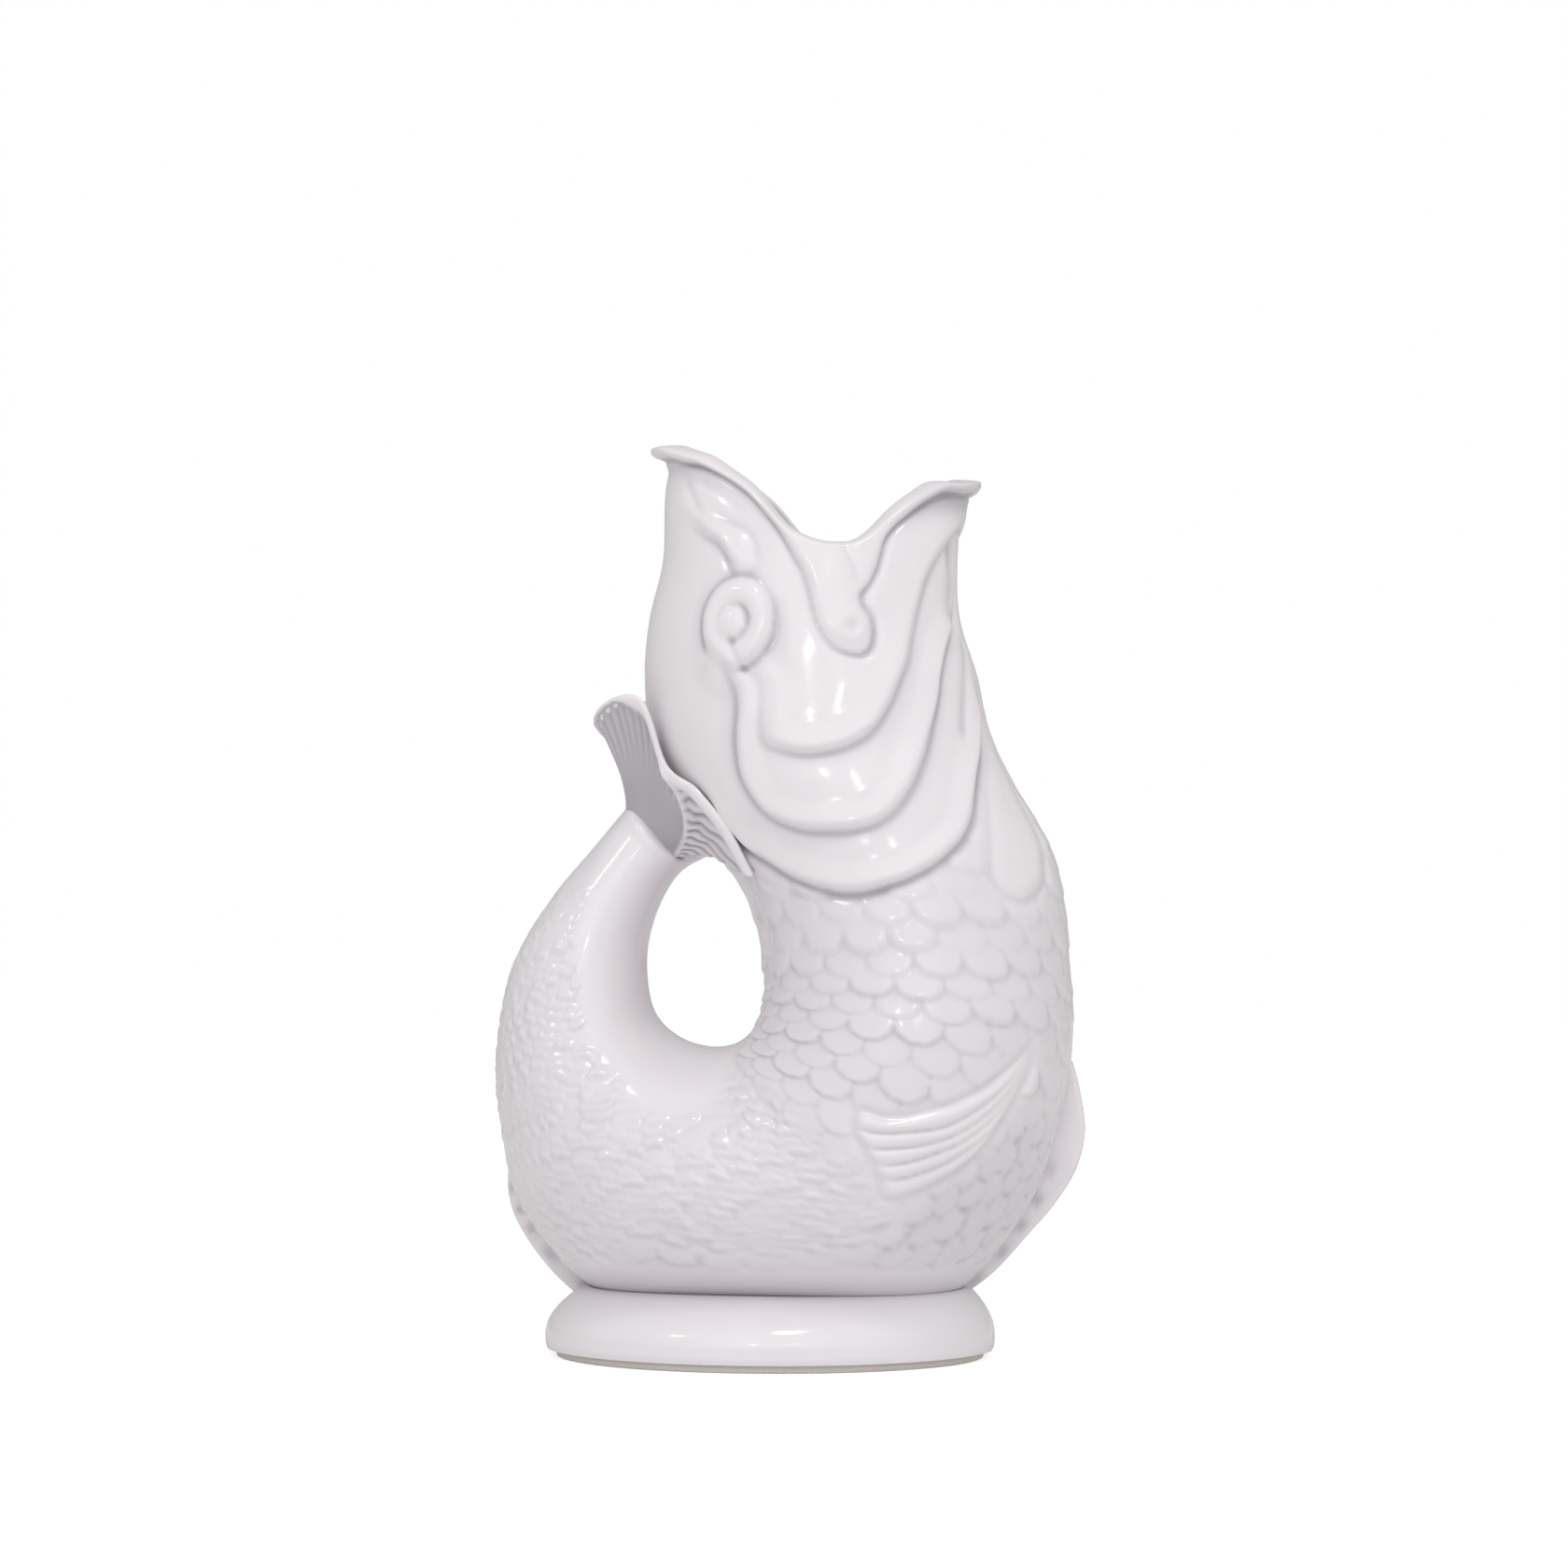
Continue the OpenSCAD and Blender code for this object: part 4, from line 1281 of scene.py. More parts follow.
@dataclass
class ScaleCoat:
    """Large scales on the belly, ragged ones below the side fins, and fine wrinkles on the tail."""

    form: FishForm
    large: ScaleRows = ScaleRows(
        row_step=0.44, column_step=17.0, height=1.55, wobble=0.06, ragged=0.02, lean=0.3
    )
    rough: ScaleRows = ScaleRows(row_step=7.0, column_step=0.33, height=1.7, wobble=0.09, ragged=0.09)
    large_stations: Fade = (12.8, 12.1)
    rough_angles: Fade = (68.0, 60.0)
    rough_first: Fade = (10.9, 11.3)
    rough_last: Fade = (15.2, 14.3)
    fine_stations: Fade = (21.3, 18.1)
    bed: float = 0.3
    # Fine wrinkles: height, how far they are sunk at the side and in front, and size
    fine_t: float = 1.0
    fine_sunk: float = 0.45
    front_sunk: float = 1.1
    front_angles: Fade = (30.0, 6.0)
    fine_wide_mm: float = 2.35
    fine_long_mm: Row = (3.4, 8.0)
    fine_long_places: Row = (-66.0, -22.0)
    # How far the rows of wrinkles run back and down towards the middle, for each mm across the fish
    across_share: float = 0.7
    high_share: float = 0.35
    # Waves that make the wrinkles uneven: turn per mm along and up, phase, and sway in mm
    rumples: Rows = (
        (0.83, 0.31, 0.4, 0.22), (-0.47, 0.71, 1.9, 0.25), (0.29, -0.95, 3.1, 0.2), (1.37, 0.52, 4.4, 0.15),
        (-0.21, 0.13, 5.2, 0.7),
    )
    row_shift: float = 3.1
    row_turn: float = 12.9
    drift_share: float = 0.3
    own_sway: float = 0.34
    own_turns: Row = (3.7, 5.9)
    tip_low: float = 0.25
    tip_round: float = 0.26
    ridge_round: float = 0.4
    ridge_fall: float = 0.65
    ridge_fade: Fade = (0.3, 1.0)
    way_steps: int = 400
    # Station, and the angle past which the skin is smooth
    smooth_angles: Rows = (
        (8.0, 166.0), (11.0, 166.0), (12.5, 154.0), (13.5, 132.0), (14.5, 119.0), (16.0, 121.0),
        (18.5, 104.0), (20.0, 78.0), (21.0, 50.0), (22.0, 20.0),
    )
    border_fade: Fade = (-5.0, 4.0)
    front_keep: float = 0.35
    front_fade: Fade = (3.0, 17.0)
    foot_fade: Fade = (1.0, 8.0)

    def lift(self, spots: Spots) -> Array:
        """Lift of the skin by its scales.

        Args:
            spots: places on the belly and tail.

        Returns:
            The lift, in millimetres.
        """
        k, t = spots.k, spots.t
        rough = self.rough_share(spots)
        large = fade(k, self.large_stations) * (1 - rough)
        fine = np.clip(1 - large - rough, 0, 1) * fade(k, self.fine_stations)
        sunk = mix(self.fine_sunk, self.front_sunk, fade(t, self.front_angles))
        total = large * (self.large.lift(k, t) - self.bed) + rough * (self.rough.lift(-t, k) - self.bed)
        total = total + fine * self.fine_t * (self.wrinkles(spots.points) - sunk)
        return self.cover(spots) * total

    def rough_share(self, spots: Spots) -> Array:
        """Tell how far the skin has the ragged scales, whose rows follow the belly's edge, from 0 to 1."""
        stations = fade(spots.k, self.rough_first) * fade(spots.k, self.rough_last)
        return fade(spots.t, self.rough_angles) * stations

    def cover(self, spots: Spots) -> Array:
        """Tell how far the skin is scaled.

        Args:
            spots: places on the belly and tail.

        Returns:
            From 0 where it is smooth to 1 where the scales have their full height.
        """
        border = np.interp(spots.k, *np.array(self.smooth_angles).T)
        front = mix(self.front_keep, 1.0, fade(spots.t, self.front_fade))
        above_foot = fade(spots.points[:, 2] - self.form.pedestal_h, self.foot_fade)
        return fade(border - spots.t, self.border_fade) * front * above_foot

    def wrinkles(self, points: Array) -> Array:
        """Lift of the fine wrinkled scales, in uneven level rows that grow longer towards the belly.

        Args:
            points: places on the plain form.

        Returns:
            Their height, from 0 between them to 1.
        """
        x, y, z = points.T
        across, high = x - self.across_share * y, z - self.high_share * y
        drift = np.zeros(len(x))
        for along_turn, up_turn, phase, sway in self.rumples:
            drift += sway * np.sin(along_turn * across + up_turn * high + phase)
        level = (high + drift) / self.fine_wide_mm
        row = np.floor(level)
        way = np.linspace(across.min(), across.max(), self.way_steps)
        counts = np.cumsum((way[1] - way[0]) / np.interp(way, self.fine_long_places, self.fine_long_mm))
        shift = self.row_shift * np.sin(self.row_turn * row) + self.drift_share * drift
        place = np.interp(across, way, counts) + shift
        cell = np.floor(place)
        part, up = place - cell, level - row
        own = mix(1.0, np.sin(self.own_turns[0] * cell + self.own_turns[1] * row), self.own_sway)
        tips = mix(self.tip_low, 1.0, quarter_round(np.minimum(part, 1 - part) / self.tip_round))
        ridge = quarter_round(up / self.ridge_round) * (1 - self.ridge_fall * fade(up, self.ridge_fade))
        return own * tips * ridge


@dataclass
class PectoralRelief:
    """Fan of five rounded rays on each side of the belly."""

    form: FishForm
    ray_t: float = 1.8
    groove_keep: float = 0.2
    edge_fade: Fade = (-0.3, 2.3)
    front_fade: Fade = (37.0, 51.0)
    hidden_w: float = 1.2
    border_w: float = 1.8
    rim_steps: int = 3
    # Stations and angles that the fan lies within
    stations: Row = (9.8, 13.2)
    angles: Row = (30.0, 110.0)
    # Stations and angles along the grooves beside the rays, from the tips at the back to the root
    groove_stations: Rows = (
        (11.72, 11.62, 11.3, 11.03, 10.76, 10.5, 10.22),
        (12.02, 11.89, 11.69, 11.45, 11.1, 10.75, 10.3),
        (12.18, 12.01, 11.76, 11.49, 11.14, 10.79, 10.36),
        (12.28, 12.11, 11.81, 11.53, 11.18, 10.83, 10.41),
        (12.37, 12.22, 11.94, 11.66, 11.3, 10.92, 10.46),
        (12.5, 12.37, 12.14, 11.84, 11.52, 11.06, 10.52),
    )
    groove_angles: Rows = (
        (96.0, 86.0, 73.0, 62.5, 54.0, 46.5, 39.5),
        (95.0, 87.0, 78.0, 67.0, 56.5, 48.0, 39.0),
        (88.0, 81.5, 71.9, 62.6, 52.9, 45.8, 38.6),
        (82.5, 76.0, 67.8, 59.3, 50.8, 44.8, 38.3),
        (78.0, 72.4, 64.9, 58.3, 49.3, 44.0, 38.0),
        (72.5, 67.4, 62.2, 56.1, 50.7, 44.4, 37.6),
    )

    @property
    def grooves(self) -> list[Rows]:
        """Places along each groove, in rows of station and angle."""
        return [tuple(zip(*groove)) for groove in zip(self.groove_stations, self.groove_angles)]

    @property
    def outline(self) -> Rows:
        """Corners of the fan, as stations and angles."""
        top, *middle, bottom = self.grooves
        return top[::-1] + tuple(groove[0] for groove in middle) + bottom

    def lift(self, spots: Spots) -> tuple[Array, Array, Array]:
        """Lift of the skin by the fin.

        Args:
            spots: places round the fan.

        Returns:
            The lift, how much of the skin's own relief the fin hides, and how near its border is, both
            from 0 to 1.
        """
        gaps = [Line(self.form, groove, seen=Seen.ON_SKIN).measure(spots)[0] for groove in self.grooves]
        rays = np.zeros(len(spots.k))
        for above, below in zip(gaps[:-1], gaps[1:]):
            between = (above * below < 0) | (below == 0)
            across = 2 * np.abs(below) / np.maximum(np.abs(above) + np.abs(below), 1e-6) - 1
            ray = mix(self.groove_keep, 1.0, np.sqrt(np.clip(1 - across**2, 0, 1)))
            rays = np.where(between, ray, rays)
        fan = inside_outline(self.outline, spots.on_skin)
        closed = self.outline + self.outline[:1]
        rim = Line(self.form, closed, seen=Seen.ON_SKIN, span_steps=self.rim_steps)
        edge = np.hypot(*rim.measure(spots)[:2])
        body = np.where(fan, fade(edge, self.edge_fade), 0.0) * fade(spots.t, self.front_fade)
        hidden = np.where(fan, 1.0, bell(edge, spread=self.hidden_w))
        return self.ray_t * rays * body, hidden, bell(edge, spread=self.border_w)


@dataclass
class TailCollar:
    """Rounded end of the tail, inside which the tail fin is set."""

    first_station: float = 20.0
    front_station: float = 22.25
    back_station: float = 21.55
    back_angle: float = 140.0
    open_angles: Fade = (158.0, 134.0)
    depth: float = 3.8
    roll: float = 2.6
    station_mm: float = 16.0
    crest: Swell = Swell(0.4, 2.0, 3.2)

    def lift(self, spots: Spots) -> Array:
        """Lift of the skin at the tail's end.

        Args:
            spots: places on the tail.

        Returns:
            The lift, in millimetres, below zero inside the collar.
        """
        behind = np.clip(spots.t / self.back_angle, 0, 1)
        end = mix(self.front_station, self.back_station, behind)
        to_end = (end - spots.k) * self.station_mm
        rim = self.depth * (quarter_round(to_end / self.roll) - 1)
        return fade(spots.t, self.open_angles) * (rim + self.crest.at(to_end))


@dataclass
class GlazePoolAndShade:
    """Where the melted glaze gathers in creases, and where shade is painted in: in hollows, among scales,
    under the lips and above the foot.
    """

    form: FishForm
    # Passes of softening that find a hollow, its share of glaze pooling and painted shade, least depth, full
    # depth and power. The narrow one marks creases, and the wide one paints soft shade into broad hollows
    hollows: Rows = ((6, 0.85, 0.06, 0.8, 0.8), (60, 0.55, 0.1, 1.2, 1.0))
    fin_border_cut: float = 0.8
    scale_cut: float = 0.3
    scale_shade: float = 0.15
    # Angles of the painted shade under each lip, and its swell over the distance below the rim
    lips: tuple[tuple[Fade, Swell], ...] = (
        ((62.0, 32.0), Swell(0.7, 3.4, 4.8)), ((120.0, 160.0), Swell(0.2, 2.4, 5.0)),
    )
    foot_shade: float = 0.45
    foot_low: float = 0.8
    foot_h: float = 11.0
    foot_station: float = 10.0

    def share(self, skin: "FishSkin") -> Array:
        """Work out the glaze pooling and painted shade of the right half.

        Args:
            skin: the fish's grid, with its reliefs raised.

        Returns:
            A grid of shares, from 0 to 1.
        """
        total = np.zeros_like(skin.lift)
        for passes, share, least, full, power in self.hollows:
            depth = softened(skin.lift, int(passes)) - skin.lift
            total += share * np.clip((depth - least) / full, 0, 1) ** power
        total *= 1 - self.fin_border_cut * skin.fin_border
        total *= 1 - self.scale_cut * np.minimum(skin.scaled, 1)
        # Scaled skin a little greyer all over: painted shade of the scales' own relief
        total += self.scale_shade * skin.scaled
        below_rim = self.form.below_rim(skin.k, skin.t)
        # Painted shade under the lips
        for angles, swell in self.lips:
            total += fade(skin.t, angles) * swell.at(below_rim)
        # Painted shade on the belly just above the pedestal
        above_foot = skin.points[:, : skin.columns, 2] - self.foot_low * self.form.pedestal_h
        foot = np.where(skin.k > self.foot_station, fade(above_foot, (self.foot_h, 0.0)), 0.0)
        return np.clip(np.maximum(total, self.foot_shade * foot), 0, 1)


@dataclass
class FishSkin:
    """The whole fish as a grid, and the closed shells that are cut from it."""

    form: FishForm
    columns: int = 201
    rim_rows: int = 9
    lip_rows: int = 24
    lip_h: float = 8.0
    head_rows: int = 92
    neck_rows: int = 106
    belly_rows: int = 250
    tail_rows: int = 190
    inner_rows: int = 60
    rim_round: float = 1.8
    upper_tip: Fade = (125.0, 170.0)
    lower_tip: Fade = (50.0, 14.0)
    tip_round_cut: float = 0.5
    bed: float = 0.4
    skirt: float = 0.12
    bed_gap: float = 0.12
    seam: float = 0.03
    plate_passes: int = 110
    cover_passes: int = 20
    corner_passes: int = 3
    collar_station: float = 5.0
    front_station: float = 10.0
    root_station: float = 16.0
    end_station: float = 22.45
    chamber_station: float = 21.2
    head_end: Fade = (9.2, 8.4)
    soft_head: Fade = (9.0, 8.5)
    # Where the scales start, how they start below the gill cover and the throat lobe, and where those end
    first_scale_station: float = 6.0
    gill_clear: Fade = (0.6, 2.2)
    throat_clear: Fade = (-0.5, 3.5)
    throat_end: float = 8.6
    gill_end: float = 9.2
    end_rings: Row = (0.66, 0.33)
    k: Array = field(init=False)
    t: Array = field(init=False)
    rolled: Array = field(init=False)
    lift: Array = field(init=False)
    scaled: Array = field(init=False)
    fin_border: Array = field(init=False)
    masks: dict[str, Array] = field(init=False)
    points: Array = field(init=False)
    normals: Array = field(init=False)
    back: Array = field(init=False)
    pool: Array = field(init=False)

    def __post_init__(self) -> None:
        """Lay out the grid, raise its reliefs and carry them all round."""
        self.lay_out()
        self.raise_reliefs()
        self.points = self.raised(self.lift)
        self.normals = grid_normals(self.points, closed=True)
        self.back = np.minimum(self.lift - self.skirt, -self.bed)
        # Glaze pooling and painted shade, carried all round
        self.pool = self.all_round(GlazePoolAndShade(self.form).share(self))

    @property
    def body_rows(self) -> int:
        """Number of rows from the mouth to the tail's root."""
        return len(self.k) - self.tail_rows

    def lay_out(self) -> None:
        """Set the station and angle of every point of the right half."""
        t = np.linspace(0, 180, self.columns)
        rim = self.form.rim_station(t)
        turn = np.linspace(0, math.pi / 2, self.rim_rows)[:, None]
        tip = fade(t, self.upper_tip) + fade(t, self.lower_tip)
        lead = self.rim_round * (1 - self.tip_round_cut * tip) / self.form.head_step
        lip = rim + lead + self.lip_h / self.form.head_step
        rows = [rim + lead * (1 - np.cos(turn))]
        for first, last, count in (
            (rim + lead, lip, self.lip_rows),
            (lip, self.collar_station, self.head_rows),
            (self.collar_station, self.front_station, self.neck_rows),
            (self.front_station, self.root_station, self.belly_rows),
            (self.root_station, self.end_station, self.tail_rows),
        ):
            down = np.linspace(first, last, count + 1)[1:].reshape(count, -1)
            rows.append(np.broadcast_to(down, (count, self.columns)))
        self.k = np.concatenate(rows)
        self.t = np.repeat(t[None], len(self.k), axis=0)
        self.rolled = np.ones((len(self.k), 1))
        self.rolled[: self.rim_rows] = np.sin(turn)

    def raise_reliefs(self) -> None:
        """Work out the lift of every point, and which piece it belongs to."""
        base = self.form.skin(self.k, self.t)
        outward = grid_normals(base, closed=False).reshape(-1, 3)
        spots = Spots(self.k.ravel(), self.t.ravel(), base.reshape(-1, 3), outward)
        head, pectoral, collar = HeadRelief(self.form), PectoralRelief(self.form), TailCollar()
        scales, cover = self.scale_lift(head, spots)
        lift = self.head_lift(head, spots) + scales

        fan = np.ones(len(lift), dtype=bool)
        for values, (low, high) in ((spots.k, pectoral.stations), (spots.t, pectoral.angles)):
            fan &= (values > low) & (values < high)
        fin, hidden, border = (spread_out(fan, values) for values in pectoral.lift(spots.take(fan)))
        self.masks["pectoral_fin"] = fan & inside_outline(pectoral.outline, spots.on_skin)
        tail = spots.k > collar.first_station
        lift = lift * (1 - hidden) + fin + spread_out(tail, collar.lift(spots.take(tail)))

        shape = self.k.shape
        soft = softened(lift.reshape(shape), 1)
        self.lift = mix(soft, softened(soft, 1), fade(self.k, self.soft_head))
        self.scaled = softened((cover * (1 - hidden)).reshape(shape), self.cover_passes)
        self.fin_border = border.reshape(shape)
        self.masks = {name: mask.reshape(shape) for name, mask in self.masks.items()}

    def head_lift(self, head: HeadRelief, spots: Spots) -> Array:
        """Work out the lift of the head, and note its pieces.

        Args:
            head: the head's reliefs.
            spots: all places of the right half.

        Returns:
            The lift of every place.
        """
        picked = spots.k < self.head_end[0]
        near = spots.take(picked)

        def smooth(values: Array) -> Array:
            """Values of the head's grid, smoothed."""
            return softened(values.reshape(-1, self.columns), self.plate_passes).reshape(-1)

        self.masks = {name: spread_out(picked, found) for name, found in head.labels(near).items()}
        return spread_out(picked, head.lift(near, smooth) * fade(near.k, self.head_end))

    def scale_lift(self, head: HeadRelief, spots: Spots) -> tuple[Array, Array]:
        """Work out the lift of the scales, which stop short of the head's plates.

        Args:
            head: the head's reliefs.
            spots: all places of the right half.

        Returns:
            The lift of every place, and how rough the scales make it.
        """
        picked = spots.k > self.first_scale_station
        near = spots.take(picked)
        below, lobe = (-line.measure(near)[0] for line in (head.gill_line, head.throat_line))
        beside = np.where(near.k < self.throat_end, fade(lobe, self.throat_clear), 1.0)
        free = np.where(near.k > self.gill_end, 1.0, fade(below, self.gill_clear) * beside)
        coat = ScaleCoat(self.form)
        cover = coat.cover(near) * free * (1 + coat.rough_share(near))
        return spread_out(picked, coat.lift(near) * free), spread_out(picked, cover)

    def raised(self, lift: Array) -> Array:
        """Raise the skin all round, rolled over at the mouth's rim.

        Args:
            lift: grid of the right half's lift.

        Returns:
            Grid of places.
        """
        half_wall = self.form.wall / 2
        off = (half_wall + lift) * self.rolled - half_wall
        return self.all_round(self.form.skin(self.k, self.t, off), mirrored=True)

    def all_round(self, values: Array, mirrored: bool = False) -> Array:
        """Carry values of the right half round to the left.

        Args:
            values: grid of values or places of the right half.
            mirrored: whether the values are places, whose y changes sign.

        Returns:
            The grid all round.
        """
        left = values[:, -2:0:-1]
        if mirrored:
            left = left * np.array([1.0, -1.0, 1.0])
        return np.concatenate([values, left], axis=1)

    def cells(self, name: str, side: Side | None = None) -> Array:
        """Grid cells of a piece, filled out where two of them touch at a corner only.

        Args:
            name: name of its mask.
            side: the side that it is on, or none for both.

        Returns:
            True for each of its cells, all round.
        """
        half = self.masks[name][:-1, :-1].copy()
        half[0] = False
        for _ in range(self.corner_passes):
            half[:-1, 1:] |= half[:-1, :-1] & half[1:, 1:] & ~half[:-1, 1:] & ~half[1:, :-1]
            half[:-1, :-1] |= ~half[:-1, :-1] & ~half[1:, 1:] & half[:-1, 1:] & half[1:, :-1]
        right, left = half & (side is not Side.LEFT), half & (side is not Side.RIGHT)
        return np.concatenate([right, left[:, ::-1]], axis=1)

    def relief(self, cells: Array) -> Shell:
        """Closed shell of one relief, with its face on the grid and its back in the body's bed.

        Args:
            cells: its grid cells.

        Returns:
            The shell.
        """
        corners = cell_corners(*np.nonzero(cells), self.points.shape[1])
        used, local = np.unique(corners, return_inverse=True)
        top = local.reshape(-1, 4)
        size = len(used)
        edges = np.concatenate([top[:, [corner, (corner + 1) % 4]] for corner in range(4)])
        rim = edges[~np.isin(edges @ (size, 1), edges @ (1, size))]
        face, bottom, edge = (
            grid.reshape(-1, 3)[used]
            for grid in (self.points, self.raised(self.back), self.raised(self.lift - self.skirt))
        )
        bottom[rim] = edge[rim]
        sides = np.stack([rim[:, 1], rim[:, 0], rim[:, 0] + size, rim[:, 1] + size], axis=1)
        normals, pool = self.normals.reshape(-1, 3)[used], self.pool.reshape(-1)[used]
        return Shell(
            np.concatenate([face, bottom]),
            np.concatenate([top, top[:, ::-1] + size, sides]),
            normals=np.concatenate([normals, -normals]),
            pool=np.concatenate([pool, pool]),
        )

    def vessel(self, covered: Array) -> Shell:
        """Closed shell of the vessel, let in under its reliefs and hollow inside.

        Args:
            covered: grid cells that a relief covers.

        Returns:
            The shell.
        """
        last = self.body_rows
        outer = self.points[:last].copy()
        full, part = (np.zeros(outer.shape[:2], dtype=bool) for _ in range(2))
        kept = covered[: last - 1]
        beside = np.roll(kept, 1, axis=1)
        full[1:-1] = (kept & beside)[:-1] & (kept & beside)[1:]
        part[1:-1] = (kept | beside)[:-1] | (kept | beside)[1:]
        outer[part] = self.raised(self.lift - self.seam)[:last][part]
        outer[full] = self.raised(self.back - self.bed_gap)[:last][full]
        rest = np.linspace(self.rim_rows, last - 1, self.inner_rows).round().astype(int)
        rows = np.array([*range(1, self.rim_rows), *rest])
        off = -self.form.wall / 2 * (1 + self.rolled[rows])
        inner = self.all_round(self.form.skin(self.k[rows], self.t[rows], off), mirrored=True)
        return Shell.hollow(outer, inner).dress_outside(self.normals[:last], self.pool[:last])

    def tail(self) -> Shell:
        """Closed shell of the tail, hollow from its root to its chamber's end.

        Returns:
            The shell.
        """
        first, rings = self.body_rows - 1, len(self.end_rings)
        last = self.points[-1]
        middle = last.mean(axis=0)
        end = [mix(middle, last, share) for share in self.end_rings]
        outer = np.concatenate([self.points[first:], end])
        normals = np.concatenate([self.normals[first:], np.repeat(self.normals[-1:], rings, axis=0)])
        # The end rings deep inside the collar are painted wholly in shade
        pool = np.concatenate([self.pool[first:], np.ones((rings, len(last)))])
        stations = np.linspace(self.root_station, self.chamber_station, self.inner_rows // 2)
        k, t = np.meshgrid(stations, self.t[0], indexing="ij")
        inner = self.all_round(self.form.skin(k, t, -self.form.wall), mirrored=True)
        return Shell.hollow(outer, inner, middle).dress_outside(normals, pool)


@dataclass
class TailFin:
    """Flared, forked fin that joins the tail to the nape.

    Its upper lobe is a smooth hollow blade. A ridge runs from the fork down to the root, and the lower
    lobe fans out from that ridge in deep uneven rays. Places along the rim are counted in rows of its
    table, and places from the root to the rim run from 0 to 1.
    """

    form: FishForm
    thickness: float = 2.3
    edge_t: float = 0.05
    inner_cut: float = 0.4
    neck_clear: float = 0.4
    rim_thin: Fade = (-1.6, 2.4)
    rim_lift: Fade = (0.0, 0.5)
    upper_cord_r: float = 1.0
    lower_cord_r: float = 1.45
    cord_change: Fade = (3.6, 4.4)
    root_station: float = 21.3
    root_inset: float = 2.6
    flare: float = 10.9
    columns: int = 340
    rows: int = 64
    coarse_rim_rows: int = 4
    fine_rim_rows: int = 9
    rim_row_power: float = 1.5
    # Rim from the middle of the back to the side of the neck, in shares of the half length, the half
    # width and the height above the pedestal
    rim_shares: Rows = (
        (-0.56, 0.0, 0.63), (-0.635, 0.22, 0.668), (-0.555, 0.34, 0.693), (-0.45, 0.4, 0.687),
        (-0.37, 0.42, 0.612), (-0.25, 0.51, 0.581), (-0.15, 0.565, 0.538), (-0.06, 0.57, 0.478),
    )
    root_angles: Row = (0.0, 24.0, 48.0, 72.0, 92.0, 110.0, 126.0, 140.0)
    # Ridge from the fork
    fork: float = 3.95
    ridge_power: float = 1.15
    ridge_t: float = 0.9
    ridge_w: float = 0.16
    ridge_root: Fade = (0.05, 0.25)
    ridge_rim: Fade = (0.2, 1.7)
    # Hollow of the upper lobe, whose border is wider at the side than at the back
    hollow: float = 1.6
    hollow_root: Fade = (0.0, 0.2)
    side_change: Fade = (1.9, 2.8)
    back_border: Fade = (0.3, 1.1)
    side_border: Fade = (1.6, 4.2)
    fine_ray_t: float = 0.22
    fine_rays: float = 3.6
    fine_sway: float = 0.8
    fine_sway_turn: float = 2.3
    fine_root: Fade = (0.62, 0.82)
    # Slots between the rays of the lower lobe
    lower_lobe: Fade = (-0.05, 0.2)
    slot_depth: float = 0.95
    slot_step: float = 0.15
    slot_slant: float = 0.25
    slot_sway: float = 0.018
    slot_sway_turns: Row = (9.0, 5.0)
    slot_power: float = 2.5
    slot_rim: Fade = (1.9, 3.5)
    slot_ridge: Fade = (0.1, 0.45)
    # Painted shade: the upper lobe's hollow face darker, less so towards the rim and varying with its fine
    # rays; the slots and the lower lobe's hollow darker; the ridge kept light
    blade_shade: float = 0.98
    blade_shade_fall: float = 0.18
    blade_shade_fade: Fade = (0.45, 0.85)
    fine_ray_shade: float = 0.12
    slot_shade: float = 0.9
    lower_lobe_shade: float = 0.25
    lower_shade_ridge: Fade = (0.1, 0.4)
    lower_shade_rim: Fade = (1.5, 3.5)
    ridge_clear: float = 0.9

    @property
    def last(self) -> int:
        """Place along the rim where the fin ends at the neck."""
        return len(self.rim_shares) - 1

    def sheet(self, place: Array, out: Array) -> Array:
        """Middle sheet of the fin.

        Args:
            place: place along the rim, from the middle of the back, below zero on the right.
            out: place from the root to the rim.

        Returns:
            Places, in millimetres.
        """
        form = self.form
        far, sign = np.abs(place), np.where(place < 0, -1.0, 1.0)
        angle = along(np.array(self.root_angles)[:, None], far)[..., 0]
        station = np.full_like(angle, self.root_station)
        root = form.skin(station, angle, -self.root_inset)
        knee = root + self.flare * unit(form.skin(station + 1, angle) - form.skin(station, angle))
        size = np.array([form.length / 2, -form.width / 2, form.fish_h])
        tip = np.array([form.centre_x, 0.0, form.pedestal_h]) + along(self.rim_shares, far) * size
        far_out = out[..., None]
        points = root * (1 - far_out) ** 2 + knee * 2 * far_out * (1 - far_out) + tip * far_out * far_out
        points = form.clear_of_neck(points, 2 * form.slip_gap + self.thickness / 2 + self.neck_clear)
        points[..., 1] *= -sign
        return points

